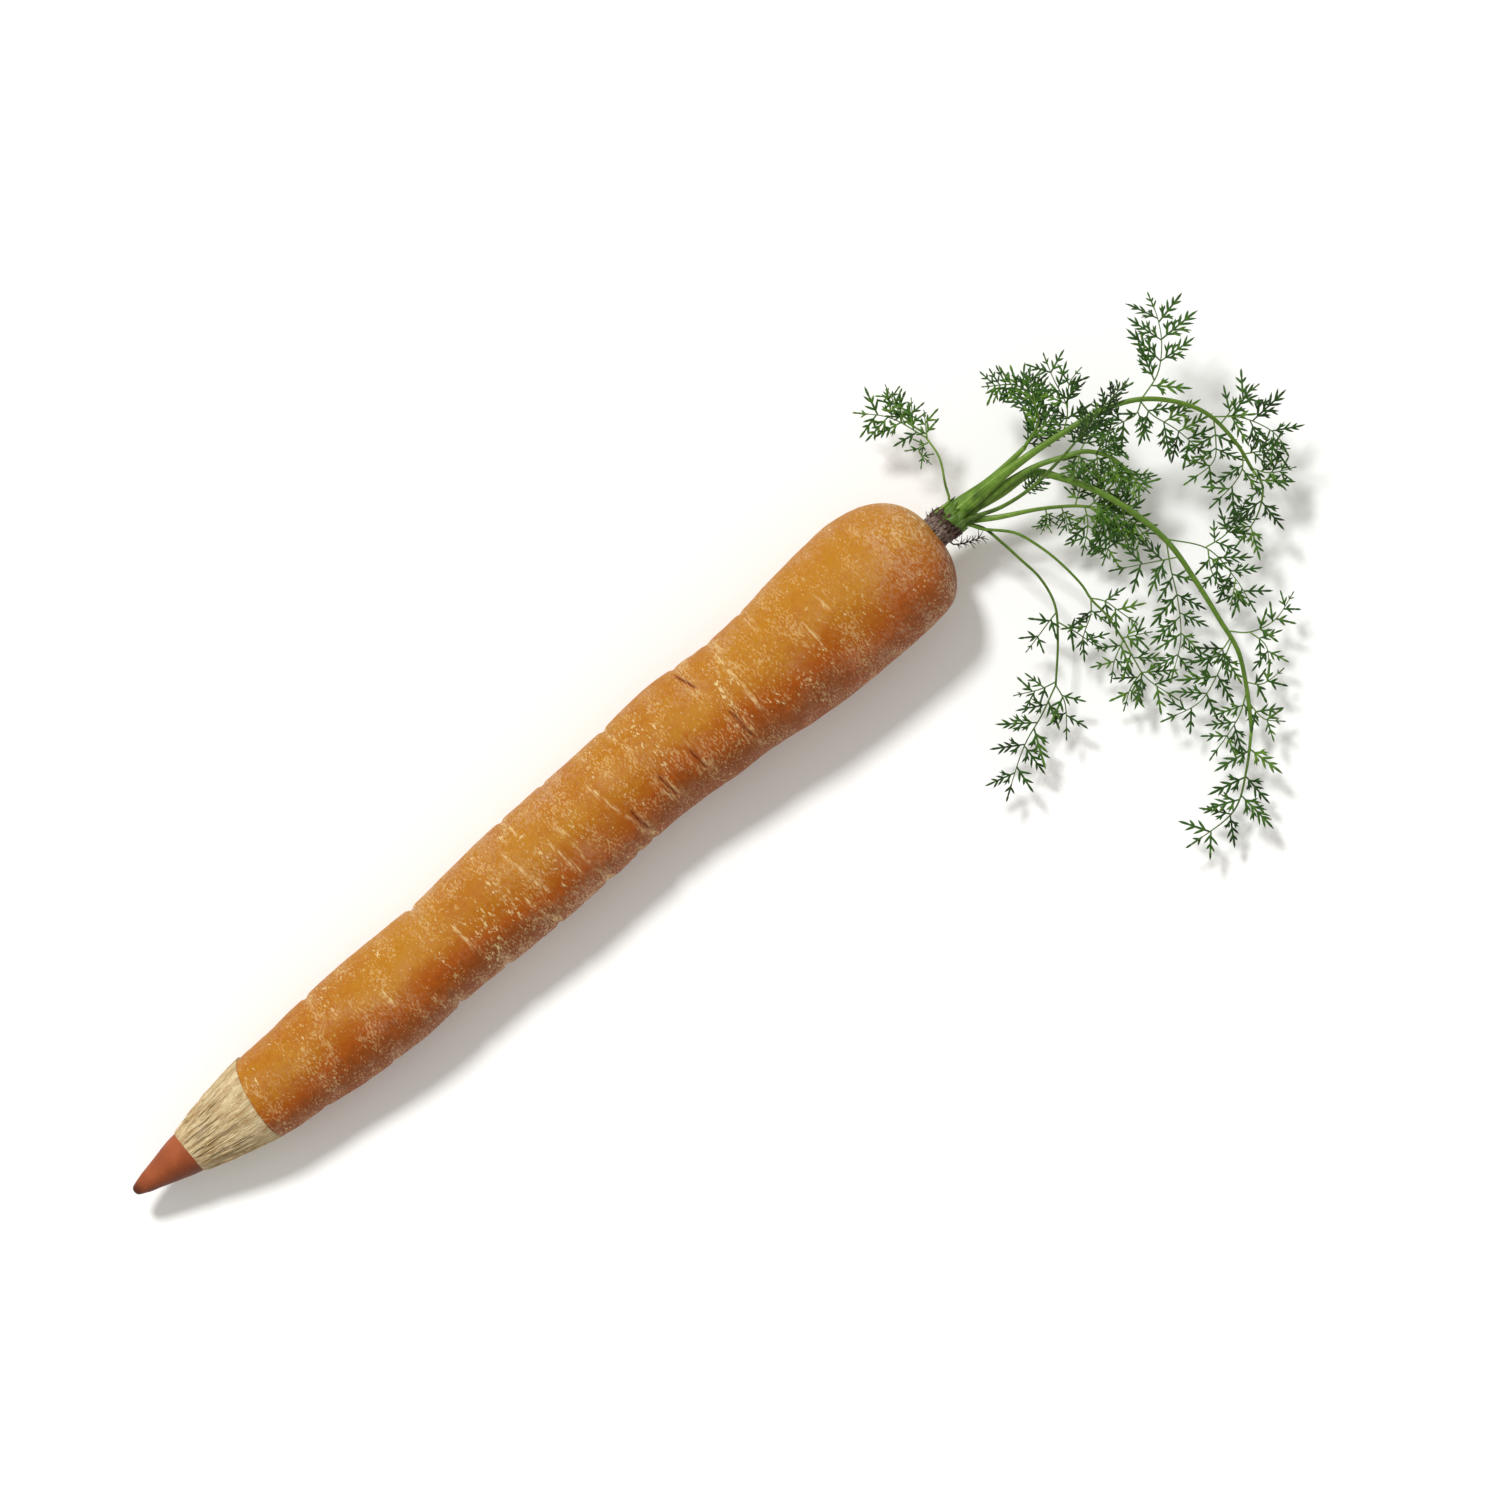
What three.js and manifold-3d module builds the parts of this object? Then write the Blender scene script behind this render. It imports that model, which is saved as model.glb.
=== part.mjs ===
// A carrot whose thin end is sharpened like a coloured pencil, lying on its side.
// Millimetres. +X runs from the point to the leafy crown, +Z is up, and z = 0 is the surface it lies on.
// A distance called s is counted along the root from the tip of the point.

import * as THREE from "three";
import { mergeVertices } from "three/addons/utils/BufferGeometryUtils.js";
import Module from "manifold-3d";

const wasm = await Module();
wasm.setup();

// Driving dimensions of the root and its point
const REST_AT = 187; // s of the origin, in the middle of the thick end's flat spot
const HEAD_START = 190; // s where the head begins to round off
const HEAD_END = 207.6; // s where the rounded head would close
const HEAD_RADIUS = 14.5;
const HEAD_SQUARENESS = 0.8; // 1 is an ellipse, less is squarer
const AXIS_SLOPE = 0.0262; // fall of the root's axis towards the point, so that both ends lie down
const FLAT_DEPTH = 0.6; // how far the skin is flattened where it lies
const HEAD_RINGS = 8;
const RING_STEP = 4.6;
const LEAST_RING_STEP = 0.4;
const RUN_IN = 6; // how far the skin's rings start before the slanting edge
const ROOT_SIDES = 22;
const CREASE_REACH = 1.4; // half the width of a crease
const SKIN_WAVES = [[0.16, 7, 2, 0], [0.12, 11, -3, 1]]; // slow swellings: [height, length, turns, shift]
const WAVE_FADE = 12; // run over which the swellings die out towards the head's end
const GAP = 0.3; // clearance between pieces that touch
const OVERCUT = 5; // run of a cutting shape past the skin
const EDGE_BLOCK = 90; // side of the block that cuts the slanting edge
const FLOOR = { long: 400, wide: 100, deep: 20, middle: -80 }; // block under the surface

// Half the root's width at stations along it: [s, half width]
const HALF_WIDTHS = [
  [4, 2.2], [12, 4.45], [24, 7.6], [32, 9.05], [40, 9.55], [56, 10.7], [66, 11.05], [80, 10.85],
  [104, 11.6], [120, 11.8], [132, 11.7], [146, 12.35], [156, 12.35], [166, 13.3], [176, 14.05],
  [HEAD_START, HEAD_RADIUS],
];

// Sideways sway of the root's axis at stations along it: [s, sideways]
const SWAYS = [[0, 0], [30, -1.4], [70, -1.9], [120, 0], [140, 0.6], [165, -0.4], [190, 0.7], [212, 0.4]];

// Creases across the skin: [s, angle of the middle, half the angle covered, depth].
// Angles are in degrees, 0 at the +Y side, 90 on top.
const CREASES = [
  [51.2, 10, 60, 0.45], [74.6, 172, 60, 0.7], [78.8, 8, 60, 0.65], [86.7, 172, 55, 0.5],
  [100, 165, 60, 0.4], [113, 165, 60, 0.45], [125.5, 150, 60, 0.55], [134.2, 122, 45, 0.5],
  [142.2, 120, 45, 0.5], [149.8, 30, 60, 0.5], [153.4, 118, 45, 0.5], [167, 10, 50, 0.35],
];

// Driving dimensions of the wooden cone and the colour core
const CORE_RADIUS = 4.45;
const CORE_END = 43.6;
const CORE_SIDES = 24;
const CORE_TIP = [[0, 0], [0.55, 0.12], [1, 0.5], [1.35, 1.3]]; // rounded tip: [radius, s]
const CORE_FLANK = [3, 5.5, 8, 10]; // s of the rings on the core's sharpened flank
const CORE_SHOULDER = 12; // s where the core is at its full width
const WOOD_START = 13.8; // s of the wood's thin front lip
const WOOD_RINGS = [17, 21, 25, 29, 33]; // s of the rings between the lip and the cone's back
const WOOD_BACK = 39; // s of the cone's back, before it is cut at the slanting edge
const WOOD_END = 44;
const WOOD_SIDES = 36;
const PEG_RADIUS = 6.6; // wooden peg let into the root
const PEG_START = 27;
const GRAIN_RIDGES = 12;
const GRAIN_HEIGHT = 0.16;
const GRAIN_FADE = 8; // run over which the grain rises behind the lip
const GRAIN_SWING = [1.6, 5]; // sideways swing of the ridges: its turn and its length
const BORE_MARGIN = 0.1; // corners nearer to the bore than this have no grain
const EDGE_AT = 31.6; // s of the slanting edge between wood and skin, on the axis
const EDGE_SLANT = 0.2778; // how far the edge leans towards the point, per mm from the axis
const EDGE_LEANS = new THREE.Vector2(-0.53, 0.848); // across the root, as [Y, Z], where it leans to the point

// Driving dimensions of the crown
const CROWN_AT = 208.4; // s of the crown's middle, from which the fronds are measured
const CROWN_START = 203.2;
const CROWN_END = 212;
const CROWN_RADIUS = 4;
const CROWN_SIDES = 22;
// The collar round the leaf bases: how far it flares, and s
const COLLAR = [[0, CROWN_START], [0, 206], [0, 208], [0.3, 209.5], [0.5, 211], [0.2, CROWN_END]];
const COLLAR_RUN = 1; // run of the collar without ridges, inside the root
const CROWN_RIDGES = 11;
const CROWN_RIDGE_HEIGHT = 0.22;
const BRISTLES = 14;
const BRISTLE_LENGTH = 2.6;
const BRISTLE_RADIUS = 0.42;
const BRISTLE_SIDES = 4;
const BRISTLE_SCATTER = 0.4; // uneven turn of a bristle round the crown
const BRISTLE_LEAN = [-0.9, 0.5]; // lean from straight out: its least and its spread
const BRISTLE_SINK = 0.9; // how deep a bristle's foot stands in the collar
const BRISTLE_BAND = [-3.6, 2.2]; // where the feet stand, from the crown's end: the first and the spread

// Driving dimensions of the fronds
const TOP_ANGLE = THREE.MathUtils.degToRad(39.35); // turn of the fronds' own frame from the root's
const SEAT_DEPTH = 2; // how deep a stalk stands in the crown
const SEAT_RUN = 1.6; // straight run of a stalk out of the crown
const SEAT_GAP = 0.45; // clearance of a stalk in its seat
const SEAT_SIDES = 8;
const SEAT_OVERCUT = 2; // run of a seat's hole past the crown's end
const HOLD_UP = 7; // lift of a frond's points, most at the surface and none from HELD_BELOW up
const HELD_BELOW = 15;
const STALK_SIDES = 5;
const STALK_STEP = 5;
const BLADE = 0.7; // thickness of ribs and leaflets
const RIB_HALF = [0.4, 0.3]; // half the rib's width, at its root and its tip
const PAIR_STEP = 4; // distance between pairs of leaflets of FULL_LEAF
const FULL_LEAF = 5;
const LEAST_PAIR_SHARE = 0.6; // closest pairs, as a share of PAIR_STEP
const END_PAIRS = 0.3; // free run at a rib's end, in steps between pairs
const BARE = 0.1; // share of a rib without leaflets, at its root
const FEATHER_SWELL = [0.2, 0.68]; // share of a half wave that the leaflets follow: start and run
const LEAF_SPREAD = [0.85, 0.3]; // uneven length of the leaflets: the least share and the spread
const LEAF_ROOT = [0.36, 0.13]; // half the width of a leaflet's root: at least, and as a share of its length
const LOBED_FROM = 2.8; // length from which a leaflet has a lobe
const LOBE = [[0.52, 0.22], [0.6, 0.04]]; // a lobe's corners: out and back, as shares of the leaflet's length
const LEAF_ANGLE = THREE.MathUtils.degToRad(47);
const LEAF_DROOP = 0.02; // fall of a leaflet, per mm squared from the rib
const SPRAY_ROLL = THREE.MathUtils.degToRad(8);
const BEND_SHARE = 0.7; // longest leaflet inside a bend, as a share of the bend's radius
const BEND_STEP = 0.04; // share of a line over which its bend is read
const LINE_POINTS = 80; // points of a line that a spray can start from

const GRID = 0.01; // finest step between corners
const MERGE = 1e-5; // corners nearer than this are one
const SEED = 7;
const UP = new THREE.Vector3(0, 0, 1);
const TAU = 2 * Math.PI;

// Finishes
const SKIN = { color: 0xcf7d22, roughness: 0.62, metalness: 0 };
const WOOD = { color: 0xc3a87c, roughness: 0.85, metalness: 0 };
const CORE = { color: 0xa9592f, roughness: 0.7, metalness: 0 };
const BARK = { color: 0x4d3f36, roughness: 0.95, metalness: 0 };
const LIGHT_GREEN = { color: 0x5f8a2f, roughness: 0.6, metalness: 0 };
const DARK_GREEN = { color: 0x35521f, roughness: 0.65, metalness: 0 };

// Fronds, in a frame turned by TOP_ANGLE about the crown's middle, with heights above the surface.
// seat: where the stalk stands on the crown's end, [sideways, up] from the crown's middle.
// radii: the stalk's radius at its root and its end. route: the stalk's points after it leaves the crown.
// sprays: each has the points that its rib follows, from a point on the frond, and its longest leaflet.
const FRONDS = {
  frond_small_left: {
    seat: [2.9, 1.6], radii: [0.45, 0.3], finish: LIGHT_GREEN,
    route: [[1.4, 9, 17], [0.2, 14.4, 17.5], [-2.4, 18.4, 16.5]],
    sprays: [
      { leaf: 4.6, points: [[-2.4, 18.4, 16.5], [-9.6, 22.4, 13.5], [-16.2, 23.4, 10]] },
      { leaf: 2.5, points: [[-6.6, 21, 15], [-10.4, 28.6, 13]] },
      { leaf: 2.5, points: [[-5.2, 20, 15.5], [-5.4, 26, 14.5]] },
      { leaf: 2.5, points: [[-2.2, 18, 16.6], [-2.8, 23.4, 16]] },
      { leaf: 2, points: [[-2, 17.6, 16.8], [-4, 16, 15.5], [-1.8, 13.4, 14.5]] },
    ],
  },
  frond_upper_left: {
    seat: [1.5, 0], radii: [0.8, 0.45], finish: LIGHT_GREEN,
    route: [[9.4, 9, 16], [14.8, 14, 19], [17.2, 16.4, 20]],
    sprays: [
      { leaf: 3.6, points: [[17.2, 16.4, 20], [20, 22, 21.5], [16.4, 28.4, 20], [9, 28.6, 15.5]] },
      { leaf: 4, points: [[17, 16, 20], [21.4, 21, 19.5], [23.8, 24.4, 18]] },
      { leaf: 3, points: [[19.6, 24, 21.3], [18.8, 27.6, 21], [18, 31.5, 20]] },
    ],
  },
  frond_top_arch: {
    seat: [0.2, 2.2], radii: [0.95, 0.35], finish: LIGHT_GREEN,
    route: [
      [10.4, 9, 18.5], [18.4, 15, 21.5], [25.4, 19.6, 23.5], [32.4, 23.6, 24.5], [39.4, 25.8, 24.5],
      [46.4, 25.6, 23.5], [53.4, 23.2, 21], [59.4, 17.4, 17.5], [62.8, 12, 14.5],
    ],
    sprays: [
      { leaf: 5.4, points: [[62.8, 12, 14.5], [64.8, 9, 13.8], [64, 3.4, 12.6], [60, -3, 11.5]] },
      {
        leaf: 7,
        points: [[40.4, 26.2, 24.5], [43.6, 31, 26], [44, 37, 25.5], [42, 42.4, 24], [40.6, 46.4, 22]],
      },
      { leaf: 4.5, points: [[40.4, 25.6, 24.5], [39.4, 23, 23.8], [34.4, 20, 23], [31.8, 15.6, 22.6]] },
      { leaf: 5.4, points: [[39.8, 25.6, 24.5], [42.4, 23, 23], [47.4, 20, 19.5], [53.4, 15, 15]] },
      { leaf: 4, points: [[56.4, 20.8, 19.6], [60, 25.6, 20.2], [63.6, 28.8, 19]] },
      { leaf: 5.4, points: [[54.4, 22.6, 20.6], [61, 22.2, 20], [67.4, 19, 18], [69.4, 15.6, 16]] },
      { leaf: 5, points: [[55, 22, 20.2], [55.4, 18, 18], [55, 13.6, 15], [50, 9.6, 12]] },
      { leaf: 5, points: [[60.8, 15.4, 16.4], [60.8, 12.4, 15], [59.4, 9.6, 13.5], [55, 5, 12]] },
      { leaf: 3, points: [[62.6, 12.4, 14.7], [66, 11.4, 13.8], [71, 12.4, 13]] },
      { leaf: 3, points: [[61, 15, 16.2], [66.4, 16, 15], [69.8, 16.2, 14]] },
      { leaf: 4, points: [[24.8, 19.2, 23.4], [25.6, 24, 25.5], [22.8, 30, 26.5], [21, 34.4, 26]] },
      { leaf: 3, points: [[25.6, 24, 25.5], [26, 29, 26.5], [28, 31.8, 26.5]] },
    ],
  },
  frond_dark_spike: {
    seat: [-1.9, 2.3], radii: [0.65, 0.35], finish: DARK_GREEN,
    route: [[12.4, 4.4, 19.5], [18.4, 8.2, 23.5], [22, 11.6, 26], [25.6, 15.4, 28]],
    sprays: [
      { leaf: 3.4, roll: 60, points: [[25.6, 15.4, 28], [29.4, 20, 30], [33.4, 25, 31.8], [37.4, 29.2, 33]] },
    ],
  },
  frond_mid_curl: {
    seat: [-1.2, 0], radii: [0.8, 0.4], finish: LIGHT_GREEN,
    route: [
      [12.4, 8.4, 17.5], [19.4, 12.6, 19.5], [25.4, 14.6, 20.5], [29.4, 15.6, 20.5], [34.4, 14.4, 19.5],
      [38, 11.6, 17.8],
    ],
    sprays: [
      { leaf: 3.2, points: [[38, 11.6, 17.8], [39.8, 9.4, 17.2], [42, 7.6, 16.8]] },
      { leaf: 2.7, points: [[28.4, 15.4, 20.5], [27.6, 12.4, 19.7], [26.8, 10, 19.2]] },
      { leaf: 2.7, points: [[31.4, 15.2, 20.2], [32, 10, 18.8]] },
      { leaf: 2.7, points: [[34, 14.4, 19.5], [35.4, 9, 18.2]] },
      { leaf: 2.7, points: [[36, 13.2, 18.8], [38, 8, 17.4]] },
      { leaf: 4, points: [[28.4, 15.4, 20.5], [30.4, 20, 20], [32.4, 24, 18.5]] },
      { leaf: 3, points: [[31.2, 15.4, 20.3], [33.8, 16.8, 20], [37.4, 17.4, 19]] },
    ],
  },
  frond_main_droop: {
    seat: [0.1, -2.3], radii: [0.95, 0.4], finish: LIGHT_GREEN,
    route: [
      [12.4, 7.6, 15], [18.8, 11.4, 16.5], [24.4, 10.4, 17], [32.4, 7.4, 16.3], [40.4, 2.4, 15],
      [46.4, -3, 13], [51.4, -10, 10.5], [56.4, -18, 8], [60, -24, 6.4], [61.6, -30.4, 5],
      [62.4, -36, 4], [62.8, -40, 3.4],
    ],
    sprays: [
      { leaf: 5.4, points: [[62.8, -40, 3.4], [61.8, -48, 2.8], [59.4, -56, 2.4], [50.8, -63, 2.2]] },
      {
        leaf: 4.5, bare: 0.45,
        points: [[45, -1.8, 13.4], [54, -3.8, 9.5], [59.6, -9.8, 6.5], [63.2, -15.6, 4.4]],
      },
      { leaf: 3.4, points: [[53.6, -3.6, 9.7], [57.4, -1, 8.2], [60.4, 3, 6.6], [61.4, 5.6, 6]] },
      { leaf: 3.4, points: [[54, -3.8, 9.5], [54.6, -7.8, 7.5], [56.6, -12, 6]] },
      { leaf: 3, points: [[59.6, -9.8, 6.5], [58.6, -15.4, 5]] },
      { leaf: 5, points: [[48.4, -5.6, 12], [43, -6.4, 10.2], [35.2, -8, 8]] },
      {
        leaf: 5, bare: 0.2,
        points: [[45.6, -2.2, 13.2], [46.6, -8, 10], [48, -14, 7.5], [48.6, -22, 5.8], [46.8, -29.6, 5.2]],
      },
      { leaf: 4, points: [[58.4, -21.4, 7.1], [56.4, -24.4, 6.3], [53.4, -25.6, 5.6], [49.6, -26.6, 5]] },
      { leaf: 5, points: [[58.8, -22, 7], [55.6, -29.6, 5.2], [52.4, -34.4, 4.6], [45.6, -38, 4.2]] },
      {
        leaf: 3, bare: 0.35,
        points: [[57.8, -20.2, 7.4], [62.4, -20.4, 6.2], [67.4, -18, 5], [71, -12.8, 4]],
      },
      { leaf: 3.4, points: [[62.4, -20.4, 6.2], [65.6, -23, 5], [66.4, -27.4, 4]] },
      { leaf: 3, points: [[61.6, -30.4, 5], [64.8, -30.8, 4.4], [69, -28, 3.6]] },
      { leaf: 3.4, points: [[62.2, -34.6, 4.2], [65.4, -37.8, 3.4], [69, -38.2, 3]] },
      { leaf: 4.4, points: [[61.8, -32, 4.7], [60.4, -37, 3.8], [58, -41, 3.2], [54.8, -45.4, 2.8]] },
    ],
  },
  frond_low_right: {
    seat: [-2.3, -2], radii: [0.65, 0.4], finish: LIGHT_GREEN,
    route: [[12.4, 2.6, 13], [20.4, 4.2, 12], [27.4, 4.8, 11], [30.4, 4.6, 10.5]],
    sprays: [
      { leaf: 4.2, points: [[30.4, 4.6, 10.5], [33.2, 2.2, 8.6], [34.4, -2, 5.8], [33.2, -6.4, 3.4]] },
      { leaf: 4, points: [[29.4, 4.6, 10.7], [30, 1, 8], [29, -4.4, 5]] },
      { leaf: 3.8, points: [[30.2, 4.6, 10.5], [35.8, 2.4, 8.8], [38.2, -3, 6]] },
      { leaf: 2, points: [[24.4, 4.6, 11.4], [25.6, 2, 10.5], [26.4, -0.4, 9.8]] },
      { leaf: 2, points: [[21.4, 4.4, 11.9], [21.8, 2, 11.4], [20.8, -0.4, 11]] },
      { leaf: 3.4, points: [[29.8, 4.7, 10.6], [38.4, 2, 9.5], [42.4, -2.6, 7.6]] },
    ],
  },
  frond_thin_inner: {
    seat: [-3, -0.5], radii: [0.5, 0.35], finish: DARK_GREEN,
    route: [
      [9, 0.4, 12.6], [12.6, -2.4, 12.4], [16.6, -6, 11.5], [20.4, -9.6, 10], [23.4, -15, 8],
      [24, -22, 6], [23.6, -31, 4],
    ],
    sprays: [
      { leaf: 5, points: [[23.6, -31, 4], [20.8, -37, 3.2], [17.4, -43, 2.7], [14, -53.2, 2.2]] },
      { leaf: 3, points: [[23.8, -16.4, 7.6], [22, -18.6, 6.6], [20.4, -20.8, 6], [18, -24, 5]] },
      { leaf: 3.4, points: [[23.9, -18.6, 6.9], [27.6, -20.4, 4.4], [30, -22, 3], [33, -24, 2]] },
      { leaf: 3, points: [[23.6, -30.4, 4.1], [20.6, -31.8, 3.8], [15.6, -33, 3]] },
      { leaf: 4, points: [[23.6, -30.8, 4], [25.4, -34.4, 3.4], [25.8, -41.2, 2.6]] },
    ],
  },
  frond_thin_outer: {
    seat: [-3, 0.9], radii: [0.5, 0.35], finish: DARK_GREEN,
    route: [
      [8.6, 0.2, 14.9], [15.4, -0.6, 13.4], [19.8, -3, 11.8], [23.8, -6, 10], [28.8, -11, 7.5],
      [30.8, -14, 6.5], [33.6, -16.8, 5.5], [37.4, -22.4, 4],
    ],
    sprays: [
      { leaf: 4.4, points: [[37.4, -22.4, 4], [39.4, -26, 3.2], [41.6, -29.4, 2.6], [47.6, -33.6, 2]] },
      { leaf: 3.8, points: [[30.6, -13.6, 6.6], [33.4, -14.2, 6.3], [36, -16, 5.6], [39.4, -18.4, 4.8]] },
      { leaf: 3.4, points: [[30.6, -13.8, 6.5], [30.6, -16.8, 6.9], [29.4, -20.2, 6.9], [28.6, -23.4, 6.5]] },
      { leaf: 3.8, points: [[37, -21.8, 4.1], [35.4, -26, 3.8], [34.8, -29.8, 3.4]] },
      { leaf: 3, points: [[36.8, -21.6, 4.2], [42.4, -20.4, 3.4]] },
      { leaf: 3.4, points: [[40.8, -28.4, 2.8], [38.6, -31.6, 2.4], [37.4, -35.6, 2.2]] },
    ],
  },
};

// A dried sprig on the crown's side, in the fronds' frame
const SPRIG = {
  leaf: 1.9, bare: 0.4,
  points: [[1.9, -1.9, 12], [3.2, -2.9, 11.2], [6, -2.4, 10.4], [9.4, -1.2, 9.6]],
};

// A smooth reading of [place, value] stations.
function smoothAlong(stations) {
  const places = stations.map(([place]) => place);
  const values = stations.map(([, value]) => value);
  const curve = new THREE.CubicInterpolant(places, values, 1, new Float64Array(1));
  return (place) => curve.evaluate(place)[0];
}

const halfWidth = smoothAlong(HALF_WIDTHS);
const sway = smoothAlong(SWAYS);
const axisHeight = (s) => HEAD_RADIUS - FLAT_DEPTH - AXIS_SLOPE * (HEAD_START - s);

// A closed solid from a geometry, its shared corners merged and its collapsed triangles dropped.
function solid(geometry) {
  const bare = geometry.clone();
  bare.deleteAttribute("normal");
  bare.deleteAttribute("uv");
  const merged = mergeVertices(bare, MERGE);
  const triangles = [];
  const index = merged.index.array;
  for (let i = 0; i < index.length; i += 3) {
    const [a, b, c] = index.slice(i, i + 3);
    if (a !== b && b !== c && c !== a) {
      triangles.push(a, b, c);
    }
  }
  return new wasm.Manifold(new wasm.Mesh({
    numProp: 3,
    vertProperties: Float32Array.from(merged.attributes.position.array),
    triVerts: Uint32Array.from(triangles),
  }));
}

// The geometry of a solid.
function geometryOf(shape) {
  const { vertProperties, triVerts } = shape.getMesh();
  const geometry = new THREE.BufferGeometry();
  geometry.setAttribute("position", new THREE.BufferAttribute(vertProperties, 3));
  geometry.setIndex(new THREE.BufferAttribute(triVerts, 1));
  geometry.computeVertexNormals();
  return geometry;
}

// Moves every corner of a geometry by a rule that changes the corner in place.
function reshape(geometry, rule) {
  const corners = geometry.attributes.position;
  const corner = new THREE.Vector3();
  for (let i = 0; i < corners.count; i += 1) {
    rule(corner.fromBufferAttribute(corners, i));
    corners.setXYZ(i, corner.x, corner.y, corner.z);
  }
  return geometry;
}

// A solid with its corners rounded to a fine grid, so that slivers left by a join collapse.
function rounded(shape) {
  const onGrid = (value) => Math.round(value / GRID) * GRID;
  return solid(reshape(geometryOf(shape), (corner) => {
    corner.set(onGrid(corner.x), onGrid(corner.y), onGrid(corner.z));
  }));
}

// A turned shape round the root's straight axis, from a profile of [radius, s].
function turned(profile, sides) {
  const outline = profile.map(([radius, s]) => new THREE.Vector2(radius, s));
  return new THREE.LatheGeometry(outline, sides).rotateZ(-Math.PI / 2);
}

// Lays a straight shape down where the root lies.
function laidDown(shape) {
  const geometry = reshape(geometryOf(shape), (corner) => {
    const s = corner.x;
    corner.set(s - REST_AT, corner.y + sway(s), corner.z + axisHeight(s));
  });
  return solid(geometry);
}

// Changes a corner's distance from the straight axis by a rule of s and its angle.
function swell(corner, rule) {
  const radius = Math.hypot(corner.y, corner.z);
  if (radius > 0) {
    const grown = 1 + rule(corner.x, Math.atan2(corner.z, corner.y)) / radius;
    corner.y *= grown;
    corner.z *= grown;
  }
}

// A block on one side of the slanting edge: -1 covers the point's side, +1 the root's side.
function edgeBlock(side) {
  const lean = new THREE.Vector3(1, EDGE_SLANT * EDGE_LEANS.x, EDGE_SLANT * EDGE_LEANS.y).normalize();
  const block = new THREE.BoxGeometry(EDGE_BLOCK, EDGE_BLOCK, EDGE_BLOCK);
  block.translate(side * (EDGE_BLOCK - GAP) / 2, 0, 0);
  block.applyQuaternion(new THREE.Quaternion().setFromUnitVectors(new THREE.Vector3(1, 0, 0), lean));
  return solid(block.translate(EDGE_AT, 0, 0));
}

// A round plug along the straight axis.
function plug(radius, start, end, sides) {
  return solid(turned([[0, start], [radius, start], [radius, end], [0, end]], sides));
}

// How deep the creases are at a place on the skin.
function creaseDepth(s, angle) {
  return CREASES.reduce((depth, [at, middle, reach, deepest]) => {
    const along = Math.max(0, 1 - Math.abs(s - at) / CREASE_REACH);
    const turn = THREE.MathUtils.radToDeg(angle) - middle;
    const round = Math.abs(THREE.MathUtils.euclideanModulo(turn + 180, 360) - 180) / reach;
    return depth + deepest * along * Math.max(0, 1 - round * round);
  }, 0);
}

// Slow swellings of the skin.
function skinWave(s, angle) {
  return SKIN_WAVES.reduce((sum, [height, length, turns, shift]) => (
    sum + height * Math.sin(s / length + turns * angle + shift)
  ), 0);
}

// Places of the root's rings: an even grid, with three rings at each crease.
function ringPlaces() {
  const creases = CREASES.flatMap(([at]) => [at - CREASE_REACH, at, at + CREASE_REACH]);
  const places = [...creases];
  for (let s = EDGE_AT - RUN_IN; s < HEAD_START; s += RING_STEP) {
    if (creases.every((crease) => Math.abs(crease - s) > CREASE_REACH)) {
      places.push(s);
    }
  }
  return places.sort((a, b) => a - b).filter((s, i, all) => i === 0 || s - all[i - 1] > LEAST_RING_STEP);
}

function rootSolid() {
  const places = ringPlaces();
  const profile = [[0, places[0]], ...places.map((s) => [halfWidth(s), s])];
  for (let i = 0; i <= HEAD_RINGS; i += 1) {
    const turn = i / HEAD_RINGS * Math.PI / 2;
    const radius = i === HEAD_RINGS ? 0 : HEAD_RADIUS * Math.cos(turn) ** HEAD_SQUARENESS;
    profile.push([radius, HEAD_START + (HEAD_END - HEAD_START) * Math.sin(turn) ** HEAD_SQUARENESS]);
  }
  const skin = reshape(turned(profile, ROOT_SIDES), (corner) => {
    const fade = Math.min(1, (HEAD_END - corner.x) / WAVE_FADE);
    swell(corner, (s, angle) => fade * skinWave(s, angle) - creaseDepth(s, angle));
  });
  const straight = solid(skin)
    .subtract(edgeBlock(-1))
    .subtract(plug(PEG_RADIUS + GAP, 0, WOOD_END + GAP, CORE_SIDES))
    .subtract(plug(CROWN_RADIUS + 2 * GAP, CROWN_START - GAP, HEAD_END + OVERCUT, CROWN_SIDES));
  const floor = new THREE.BoxGeometry(FLOOR.long, FLOOR.wide, FLOOR.deep);
  floor.translate(FLOOR.middle, 0, -FLOOR.deep / 2);
  return laidDown(straight).subtract(solid(floor));
}

function woodSolid() {
  const bore = CORE_RADIUS + GAP;
  const flank = [WOOD_START, ...WOOD_RINGS, WOOD_BACK].map((s) => [halfWidth(s), s]);
  const cone = [[bore, WOOD_BACK], [bore, WOOD_START], ...flank, [bore, WOOD_BACK]];
  const [swing, swingLength] = GRAIN_SWING;
  const grained = reshape(turned(cone, WOOD_SIDES), (corner) => {
    const outside = Math.hypot(corner.y, corner.z) > bore + BORE_MARGIN;
    const height = GRAIN_HEIGHT * THREE.MathUtils.clamp((corner.x - WOOD_START) / GRAIN_FADE, 0, 1);
    if (outside) {
      const waver = (s) => swing * Math.sin(s / swingLength);
      swell(corner, (s, angle) => height * Math.sin(GRAIN_RIDGES * angle + waver(s)));
    }
  });
  const peg = [
    [bore, WOOD_END], [bore, PEG_START], [PEG_RADIUS, PEG_START], [PEG_RADIUS, WOOD_END], [bore, WOOD_END],
  ];
  return laidDown(solid(grained).subtract(edgeBlock(1)).add(solid(turned(peg, CORE_SIDES))));
}

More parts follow.
